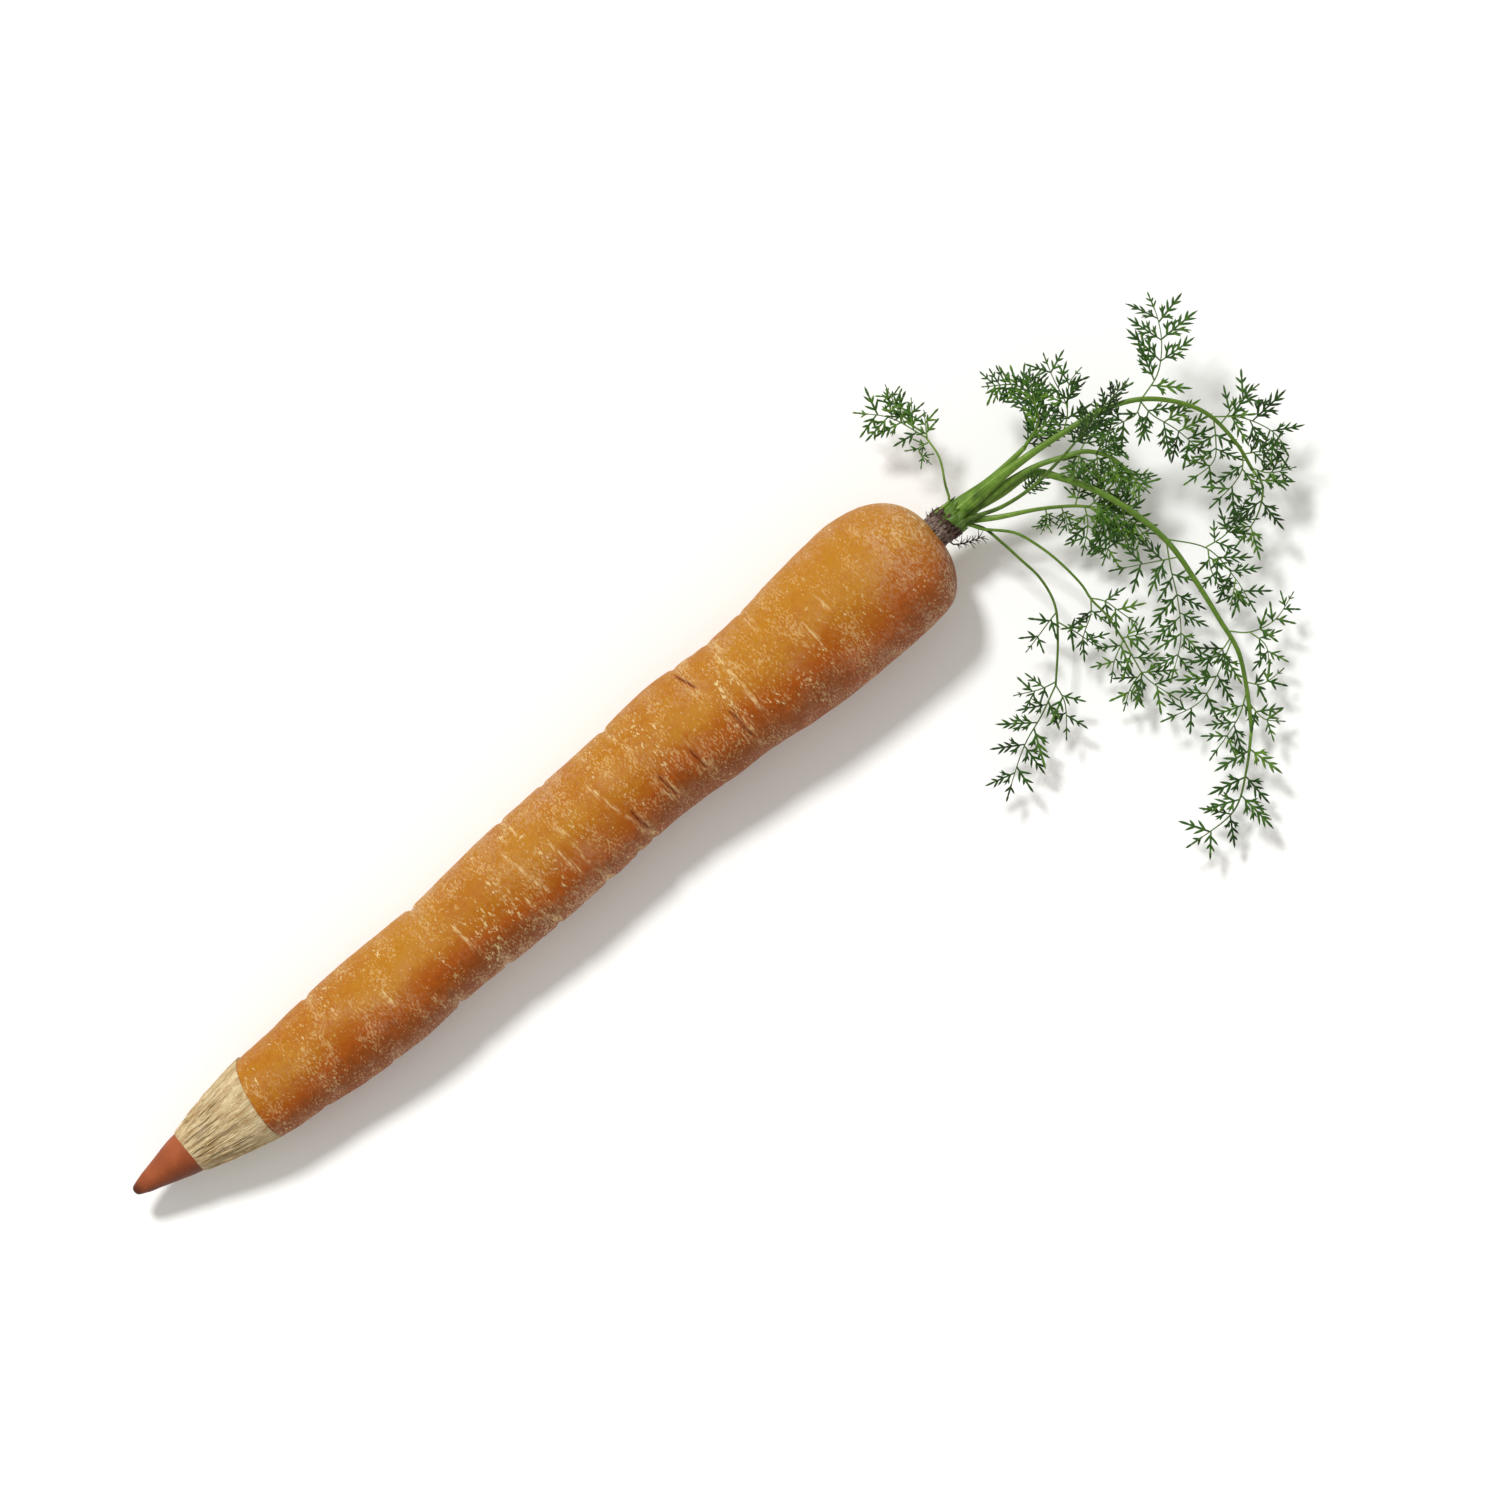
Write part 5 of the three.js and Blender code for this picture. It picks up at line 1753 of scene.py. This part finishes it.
@dataclass(frozen=True)
class StalkTint:
    """How a stalk's tone changes: slowly darker along it, mottled, with dark blotches near its foot."""

    fall: float = 0.2
    fall_run: float = 60.0
    mottle: float = 0.12
    mottle_size: float = 6.0
    blotch: float = 0.4
    blotch_at: float = 7.5
    blotch_run: float = 2.6
    blotch_size: float = 2.2
    blotch_level: float = 0.3
    blotch_gain: float = 2.5

    def at(self, place: Vector, reach: float) -> float:
        """The change of tone at a place.

        Args:
            place: The place, in the fronds' frame.
            reach: Its distance from the stalk's foot.

        Returns:
            The change, mostly below 0.
        """
        spots = clamp(self.blotch_level + self.blotch_gain * noise.noise(place / self.blotch_size))
        spots *= bell(reach - self.blotch_at, self.blotch_run)
        mottle = self.mottle * noise.noise(place / self.mottle_size)
        return mottle - self.fall * clamp(reach / self.fall_run) - self.blotch * spots


@dataclass
class Frond:
    """One leafy frond: a grooved stalk, its ribs and its leaflets."""

    plan: FrondPlan
    line: RootLine
    press: LeafPress
    tint: StalkTint = StalkTint()
    crown_end: float = 212.0
    seat_depth: float = 2.0
    seat_run: float = 1.6
    # Points lower than held_below are raised, by hold_up at the floor
    hold_up: float = 7.0
    held_below: float = 15.0
    floor_gap: float = 0.02
    stalk_sides: int = 24
    stalk_step: float = 1.2
    taper: float = 0.65
    groove: float = 0.11
    # Where the stalk is broadest, over what run, and the share of its height that stays there
    sheath_at: float = 5.0
    sheath_run: float = 12.0
    sheath_height: float = 0.55
    rib_sides: int = 6
    rib_step: float = 1.0
    rib_steps: int = 4
    rib_radii: Span = (0.19, 0.1)
    rib_taper: float = 0.8
    rib_groove: float = 0.1
    rib_blend: float = 6.0
    # Pairs of leaflets: their spacing, and where along the rib they lie
    pair_step: float = 0.9
    pair_gap: float = 0.6
    first_pair: float = 0.4
    least_pairs: int = 2
    end_share: float = 0.5
    least_end: float = 0.5
    spot_jitter: float = 0.2
    # Leaflets: their lengths along a feather, their angles, tilts and tones
    leaf_scale: float = 1.5
    swell_from: float = 0.2
    swell_run: float = 0.68
    leaf_spread: Span = (0.85, 1.15)
    least_leaf: float = 1.2
    end_leaf: float = 0.7
    least_end_leaf: float = 1.6
    bend_share: float = 0.9
    leaf_angle: float = math.radians(54)
    leaf_pitches: Span = (-0.2, 0.26)
    leaf_leans: Span = (-0.4, 0.4)
    leaf_tones: float = 0.1
    spray_roll: float = math.radians(8)

    def held(self, point: Point) -> Vector:
        """A point of the frond, which its stiff stalk holds up the more the lower it is laid out."""
        right, up, height = point
        return Vector((right, up, height + self.hold_up * max(0.0, 1 - height / self.held_below)))

    def stem(self) -> Centreline:
        """Draws the stalk's middle line.

        Returns:
            The line, straight out of the seat and then along the route.
        """
        sideways, rise = self.plan.seat
        height = self.line.axis(self.line.crown_at).z
        turn = Matrix.Rotation(Studio.TURN, 4, "Z")
        points = []
        for along in (-self.seat_depth, -self.seat_depth / 2, 0, self.seat_run):
            out = self.crown_end - self.line.crown_at + along
            points.append(turn @ Vector((out, sideways, height + rise)))
        return Centreline([*points, *(self.held(point) for point in self.plan.route)])

    def grow_stalk(self, bm: BMesh, stem: Centreline) -> None:
        """Draws the stalk, which is broad and flat at its foot.

        Args:
            bm: The bmesh that gets the stalk.
            stem: Its middle line.
        """
        base, tip = self.plan.radii
        steps = math.ceil(stem.length / self.stalk_step)
        frames = []
        for i in range(steps + 1):
            share = i / steps
            radius = base + (tip - base) * share ** self.taper
            broad = 1 + self.plan.sheath * bell(share * stem.length - self.sheath_at, self.sheath_run)
            flat = self.sheath_height + (1 - self.sheath_height) / broad
            frames.append(stem.frame(share, 0.0, radius * broad, radius * flat))
        stalk_tone = self.plan.shade.value[0]
        tone = bm.verts.layers.float["tone"]
        for vert in sweep(bm, frames, self.stalk_sides, self.groove, "ridge"):
            reach = (vert.co - frames[0].translation).length
            vert[tone] = stalk_tone + self.tint.at(vert.co, reach)

    def grow_rib(self, bm: BMesh, rib: Centreline, start: float) -> None:
        """Draws a spray's rib.

        Args:
            bm: The bmesh that gets the rib.
            rib: Its middle line.
            start: Its radius where it leaves the frond.
        """
        steps = max(self.rib_steps, math.ceil(rib.length / self.rib_step))
        end = self.rib_radii[1]
        frames = []
        for i in range(steps + 1):
            radius = start + (end - start) * (i / steps) ** self.rib_taper
            frames.append(rib.frame(i / steps, 0.0, radius, radius))
        stalk_tone, rib_tone, _ = self.plan.shade.value
        tone = bm.verts.layers.float["tone"]
        for vert in sweep(bm, frames, self.rib_sides, self.rib_groove, "ridge"):
            near = clamp(1 - (vert.co - frames[0].translation).length / self.rib_blend)
            vert[tone] = rib_tone + (stalk_tone - rib_tone) * near

    def set_leaflet(self, bm: BMesh, place: Matrix, length: float, draw: random.Random) -> None:
        """Sets one leaflet on a rib.

        Args:
            bm: The bmesh that gets the leaflet.
            place: The leaflet's foot, with X along it and Z up from its face.
            length: Its length.
            draw: The source of its tilt and tone.
        """
        mesh, scale = self.press.pick(length, draw)
        pitch = Matrix.Rotation(draw.uniform(*self.leaf_pitches), 4, "Y")
        lean = Matrix.Rotation(draw.uniform(*self.leaf_leans), 4, "X")
        first = len(bm.verts)
        bm.from_mesh(mesh)
        bm.verts.ensure_lookup_table()
        fresh = bm.verts[first:]
        bmesh.ops.transform(bm, matrix=place @ (pitch @ lean) @ Matrix.Scale(scale, 4), verts=fresh)
        tone = bm.verts.layers.float["tone"]
        shade = self.plan.shade.value[2] + draw.gauss(0, self.leaf_tones)
        for vert in fresh:
            vert[tone] = shade

    def set_feather(
        self, bm: BMesh, rib: Centreline, spray: Spray, roll: float, draw: random.Random,
    ) -> None:
        """Sets pairs of leaflets along a rib, and one at its end.

        Args:
            bm: The bmesh that gets the leaflets.
            rib: The rib's middle line.
            spray: The spray that the rib belongs to.
            roll: The feather's turn about the rib, in radians.
            draw: The source of small differences.
        """
        step = (self.pair_step * spray.leaf + self.pair_gap) * self.plan.crowding
        end = max(self.least_end, 1 - self.end_share * spray.leaf / rib.length)
        pairs = max(self.least_pairs, round(rib.length * (end - spray.bare) / step))
        to_leaf = Matrix(((0, 1, 0), (0, 0, 1), (1, 0, 0))).to_4x4()
        for i in range(pairs):
            share = spray.bare + (end - spray.bare) * (i + self.first_pair) / pairs
            swelling = math.sin(math.pi * (self.swell_from + self.swell_run * (i + 0.5) / pairs))
            full = self.leaf_scale * spray.leaf * (0.5 + 0.5 * swelling)
            bend = rib.bend(share)
            for side in (1, -1):
                length = full * draw.uniform(*self.leaf_spread)
                if side * bend > 0:
                    length = min(length, self.leaf_scale * self.bend_share / (side * bend))
                jitter = draw.uniform(-self.spot_jitter, self.spot_jitter)
                spot = clamp(share + jitter * step / rib.length)
                turn = side * self.leaf_angle * draw.uniform(*self.leaf_spread)
                place = rib.frame(spot, roll) @ to_leaf @ Matrix.Rotation(turn, 4, "Z")
                self.set_leaflet(bm, place, max(self.least_leaf, length), draw)
        length = max(self.least_end_leaf, self.end_leaf * spray.leaf)
        self.set_leaflet(bm, rib.frame(end, roll) @ to_leaf, length, draw)

    def build(self, finishes: Sequence[Material]) -> None:
        """Models and delivers the frond.

        Args:
            finishes: The stalks' and the leaflets' materials.
        """
        draw = random.Random(self.plan.node)
        bm = blank("tone", "ridge")
        stem = self.stem()
        self.grow_stalk(bm, stem)
        lines = [stem]
        for i, spray in enumerate(self.plan.sprays):
            first, *rest = (self.held(point) for point in spray.points)
            spots = [spot for line in lines for spot in line.spots]
            foot = min(spots, key=lambda spot: (spot - first).length)
            rib = Centreline([foot, *rest])
            self.grow_rib(bm, rib, self.plan.radii[1] if i == 0 else self.rib_radii[0])
            lines.append(rib)
        for i, (rib, spray) in enumerate(zip(lines[1:], self.plan.sprays)):
            roll = self.spray_roll * (1 if i % 2 else -1)
            if spray.roll is not None:
                roll = math.radians(spray.roll)
            self.set_feather(bm, rib, spray, roll, draw)
        bmesh.ops.transform(bm, matrix=self.line.crown_frame(), verts=bm.verts)
        for vert in bm.verts:
            vert.co.z = max(self.floor_gap, vert.co.z)
        deliver(bm, self.plan.node.replace("frond", "leafy"), finishes, self.plan.node)


class StrandKind(Enum):
    """A strand on the crown: the ranges of its start, length, radius and flare."""

    FIBRE = ((204.5, 209.5), (1.5, 3.4), (0.07, 0.16), (-0.05, 0.45))
    BRISTLE = ((207, 210.5), (0.6, 2.2), (0.06, 0.12), (0.4, 1.7))


class ScaleKind(Enum):
    """A scale at the stalks' feet: its material number, length, width, tone and range of tilts."""

    DRY = (0, 1.8, 1.0, 0.1, (-0.3, 0.1))
    GREEN = (1, 3.2, 1.7, 0.3, (0.0, 0.16))


@dataclass
class Crown:
    """The fibrous crown that the stalks grow from, with bristles and a dried sprig."""

    line: RootLine
    start: float = 203.0
    end: float = 212.0
    radius: float = 3.25
    rings: int = 48
    sides: int = 120
    # The collar: the runs over which its ends close, its swelling, and its tone with its dark end
    start_run: float = 0.4
    end_run: float = 0.6
    swelling: float = 0.25
    swelling_at: float = 210.6
    swelling_run: float = 1.6
    tone: float = 0.42
    end_darker: float = 0.4
    darker_from: float = 208.5
    darker_run: float = 2.5
    # Folds of the collar: height, run along it and radius round it
    folds: tuple[Triple, ...] = ((0.2, 2, 12), (0.25, 3, 4))
    # Rings of old leaf bases: height, waves along the collar, and how and how often they sway
    bases: Row = (0.12, 5, 2, 3)
    # Strands: how many, their tones, the end towards the stalks where fibres are darker, and the bristles'
    # side
    fibres: int = 190
    fibre_tones: Span = (0.25, 0.75)
    darker_fibres_from: float = 208.0
    darker_fibres_share: float = 0.6
    bristles: int = 46
    bristle_side: float = math.radians(40)
    bristle_spread: float = 1.1
    strand_shape: tuple[Span, ...] = ((0.0, 0.8), (0.35, 1.0), (0.7, 0.75), (1.0, 0.15))
    strand_sink: float = 0.15
    strand_bow: float = 0.2
    strand_middle: float = 0.55
    strand_sway: float = 0.35
    strand_sways: float = 37.0
    # Scales: how many, where their feet are, and how they vary
    dry_scales: int = 16
    green_scales: int = 26
    scale_feet: Span = (209.4, 210.6)
    scale_rises: Span = (-0.3, 0.15)
    scale_turns: Span = (-0.3, 0.3)
    scale_lengths: Span = (0.8, 1.8)
    scale_widths: Span = (0.7, 1.3)
    scale_tones: Span = (-0.12, 0.12)
    scale_thickness: float = 0.16
    # The dried sprig: its rib, and its twigs' places, turns, lifts and lengths
    sprig: tuple[Point, ...] = ((1.9, -1.9, 12), (3.2, -2.9, 11.2), (6, -2.4, 10.4), (9.4, -1.2, 9.6))
    sprig_radius: float = 0.2
    sprig_tone: float = 0.02
    sprig_shape: tuple[Span, ...] = tuple((i / 5, 1 - 0.12 * i) for i in range(6))
    twigs: int = 9
    twigs_from: float = 0.3
    twig_step: float = 0.075
    twig_turns: Span = (0.5, 1.1)
    twig_reach: float = 1.5
    twig_closing: float = 0.6
    twig_lifts: Span = (-0.3, 0.3)
    twig_lengths: Span = (1.0, 2.0)
    twig_bow: float = 0.1
    twig_radius: float = 0.13

    def profile(self, s: float) -> Span:
        """The collar's s and radius, closed at both ends."""
        inner = clamp((s - self.start) / self.start_run) * clamp((self.end - s) / self.end_run) ** 0.5
        return s, (self.radius + self.swelling * bell(s - self.swelling_at, self.swelling_run)) * inner

    def relief(self, s: float, angle: float) -> float:
        """The collar's lengthwise folds and its rings of old leaf bases.

        Args:
            s: The place along the collar.
            angle: Its angle, in radians.

        Returns:
            The height of the place.
        """
        out = sum(high * noise.noise(around(s / run, angle, radius)) for high, run, radius in self.folds)
        height, waves, sway, sways = self.bases
        return out + height * math.sin(waves * s + sway * math.sin(sways * angle))

    def strand(self, bm: BMesh, s: float, angle: float, size: Sequence[float], tone: float) -> None:
        """Lays one strand on the collar.

        Args:
            bm: The bmesh that gets it, round the straight axis.
            s: Where it starts.
            angle: Its angle round the collar.
            size: Its length, its radius and how far its end stands out.
            tone: Its tone, from black to grey.
        """
        length, thick, flare = size
        out = around(0, angle, 1)
        side = Vector((0, -math.sin(angle), math.cos(angle)))
        side *= self.strand_sway * math.sin(self.strand_sways * s)
        foot = Vector((s, 0, 0)) + out * (self.radius - self.strand_sink)
        middle = foot + Vector((self.strand_middle * length, 0, 0)) + out * self.strand_bow + side * 0.5
        head = foot + Vector((length, 0, 0)) + out * flare + side
        layer = bm.verts.layers.float["tone"]
        for vert in needle(bm, [foot, middle, head], self.strand_shape, thick):
            vert[layer] = tone

    def scale_leaf(self, bm: BMesh, kind: ScaleKind, draw: random.Random) -> None:
        """Sets one scale round the stalks' feet.

        Args:
            bm: The bmesh that gets it, round the straight axis.
            kind: Whether it is a fresh green one or a dried one.
            draw: The source of its place and size.
        """
        number, length, width, tone, tilts = kind.value
        foot = (draw.uniform(*self.scale_feet), 0, self.radius + draw.uniform(*self.scale_rises))
        place = Matrix.Rotation(draw.uniform(0, TAU), 4, "X") @ Matrix.Translation(foot)
        place = place @ Matrix.Rotation(draw.uniform(*tilts), 4, "Y")
        place = place @ Matrix.Rotation(draw.uniform(*self.scale_turns), 4, "Z")
        place = place @ Matrix.Rotation(math.pi, 4, "X")
        length *= draw.uniform(*self.scale_lengths)
        width *= draw.uniform(*self.scale_widths)
        layer = bm.verts.layers.float["tone"]
        for vert in blade(bm, place, length, width):
            vert[layer] = tone + draw.uniform(*self.scale_tones)
            for face in vert.link_faces:
                face.material_index = number

    def tuft(self, draw: random.Random) -> BMesh:
        """Lays the collar's fibres, and stiff dark bristles mostly on its +Y side.

        Args:
            draw: The source of small differences.

        Returns:
            The fibres and bristles, round the straight axis.
        """
        bm = blank("tone")
        starts, *sizes = StrandKind.FIBRE.value
        for _ in range(self.fibres):
            s = draw.uniform(*starts)
            tone = draw.uniform(*self.fibre_tones) * (self.darker_fibres_share if s > self.darker_fibres_from else 1)
            angle = draw.uniform(0, TAU)
            self.strand(bm, s, angle, [draw.uniform(*span) for span in sizes], tone)
        starts, *sizes = StrandKind.BRISTLE.value
        for _ in range(self.bristles):
            angle = draw.gauss(self.bristle_side, self.bristle_spread)
            s = draw.uniform(*starts)
            self.strand(bm, s, angle, [draw.uniform(*span) for span in sizes], 0.0)
        return bm

    def grow_sprig(self, draw: random.Random) -> BMesh:
        """Grows the dried sprig: a thin rib with fine forked twigs.

        Args:
            draw: The source of small differences.

        Returns:
            The sprig, in the row's frame.
        """
        bm = blank("tone")
        points = [self.line.crown_frame() @ Vector(point) for point in self.sprig]
        needle(bm, points, self.sprig_shape, self.sprig_radius)
        rib = Centreline(points)
        for i in range(self.twigs):
            share = self.twigs_from + self.twig_step * i
            foot = rib.point(share)
            along = rib.along(share)
            out = UP.cross(along) * (1 if i % 2 else -1)
            for turn in self.twig_turns:
                sideways = self.twig_reach - self.twig_closing * turn
                reach = along * turn + out * sideways + UP * draw.uniform(*self.twig_lifts)
                tip = foot + reach.normalized() * draw.uniform(*self.twig_lengths)
                middle = foot.lerp(tip, 0.5) + along * self.twig_bow
                needle(bm, [foot, middle, tip], self.sprig_shape, self.twig_radius)
        layer = bm.verts.layers.float["tone"]
        for vert in bm.verts:
            vert[layer] = self.sprig_tone
        return bm

    def build(self, finishes: Sequence[Material]) -> None:
        """Models and delivers the crown.

        Args:
            finishes: The bark's and the green stalks' materials.
        """
        draw = random.Random(19)
        bm = spun(self.start, self.end, self.rings, self.sides, self.profile)
        layer = bm.verts.layers.float.new("tone")
        for vert in bm.verts:
            darker = clamp((vert.co.x - self.darker_from) / self.darker_run)
            vert[layer] = self.tone - self.end_darker * darker
        swell(bm, self.relief)
        scales = blank("tone")
        for kind, count in ((ScaleKind.GREEN, self.green_scales), (ScaleKind.DRY, self.dry_scales)):
            for _ in range(count):
                self.scale_leaf(scales, kind, draw)
        bmesh.ops.solidify(scales, geom=scales.faces[:], thickness=self.scale_thickness)
        join(bm, scales)
        join(bm, self.tuft(draw))
        self.line.lay_down(bm)
        join(bm, self.grow_sprig(draw))
        deliver(bm, "crown_tuft", finishes, "crown")


@dataclass
class Studio:
    """The floor, the light and the camera over the carrot."""

    TURN = math.radians(39.35)

    line: RootLine
    image_size: int = 1500
    pixel: float = 0.2
    crown_pixel: tuple[int, int] = (938, 530)
    camera_height: float = 12.0
    camera_reach: float = 100.0
    focal: float = 400.0
    sensor: float = 36.0
    floor_side: float = 16.0
    floor_cells: int = 4
    key_strength: float = 2.2
    key_rise: float = math.radians(55)
    key_side: float = math.radians(124)
    key_spread: float = math.radians(9.5)
    fill_strength: float = 0.57
    fill_colour: Row = (1.0, 0.985, 0.93, 1.0)

    def lay_floor(self, finish: Material) -> None:
        """Lays the plain floor.

        Args:
            finish: The floor's material.
        """
        bm = bmesh.new()
        cells = self.floor_cells
        bmesh.ops.create_grid(bm, x_segments=cells, y_segments=cells, size=self.floor_side / 2)
        mesh = mesh_of(bm, "floor")
        mesh.materials.append(finish)
        link("floor", mesh)

    def hang_lights(self) -> None:
        """Hangs one broad key light and sets an even fill."""
        key = bpy.data.lights.new("key", "SUN")
        key.energy = self.key_strength
        key.angle = self.key_spread
        heading = self.key_side - self.TURN
        flat = math.cos(self.key_rise)
        towards = Vector((flat * math.cos(heading), flat * math.sin(heading), math.sin(self.key_rise)))
        link("key", key).rotation_euler = towards.to_track_quat("Z", "Y").to_euler()
        world = bpy.data.worlds.new("fill")
        world.use_nodes = True
        fill = world.node_tree.nodes["Background"].inputs
        fill["Strength"].default_value = self.fill_strength
        fill["Color"].default_value = self.fill_colour
        bpy.context.scene.world = world
        bpy.context.scene.view_settings.view_transform = "Standard"

    def set_camera(self) -> None:
        """Sets the camera straight above, so that the crown falls on its place in the picture."""
        middle = self.image_size / 2
        across, down = (middle - place for place in self.crown_pixel)
        centre = self.line.crown_frame() @ Vector((across * self.pixel, -down * self.pixel, 0))
        camera = bpy.data.cameras.new("camera")
        camera.lens = self.focal
        camera.sensor_width = self.sensor
        camera.clip_end = self.camera_reach
        eye = link("camera", camera)
        distance = self.image_size * self.pixel * self.focal / self.sensor
        eye.location = Vector((centre.x, centre.y, self.camera_height + distance)) * MM
        eye.rotation_euler = (0, 0, -self.TURN)
        bpy.context.scene.camera = eye


def main() -> None:
    """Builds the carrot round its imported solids, then its studio."""
    logging.basicConfig(level=logging.INFO, format="%(relativeCreated)6d ms %(name)s: %(message)s")
    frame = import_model()
    LOG.info("dressing %d solids", len(frame["nodes"]))
    effects = Effects()
    line = RootLine()
    skin = RootSkin(line)
    skin.build(SkinFinish().material(effects))
    WoodPoint(line, skin).build(WoodFinish().material(effects))
    ColourCore(line).build(CoreFinish().material(effects))
    greens = [StalkFinish().material(effects), LeafFinish().material(effects)]
    Crown(line).build([BarkFinish().material(effects), greens[0]])
    press = LeafPress()
    press.press()
    for plan in FROND_PLANS:
        Frond(plan, line, press).build(greens)
    press.clear()
    studio = Studio(line)
    studio.lay_floor(FloorFinish().material(effects))
    studio.hang_lights()
    studio.set_camera()


if __name__ == "__main__":
    main()
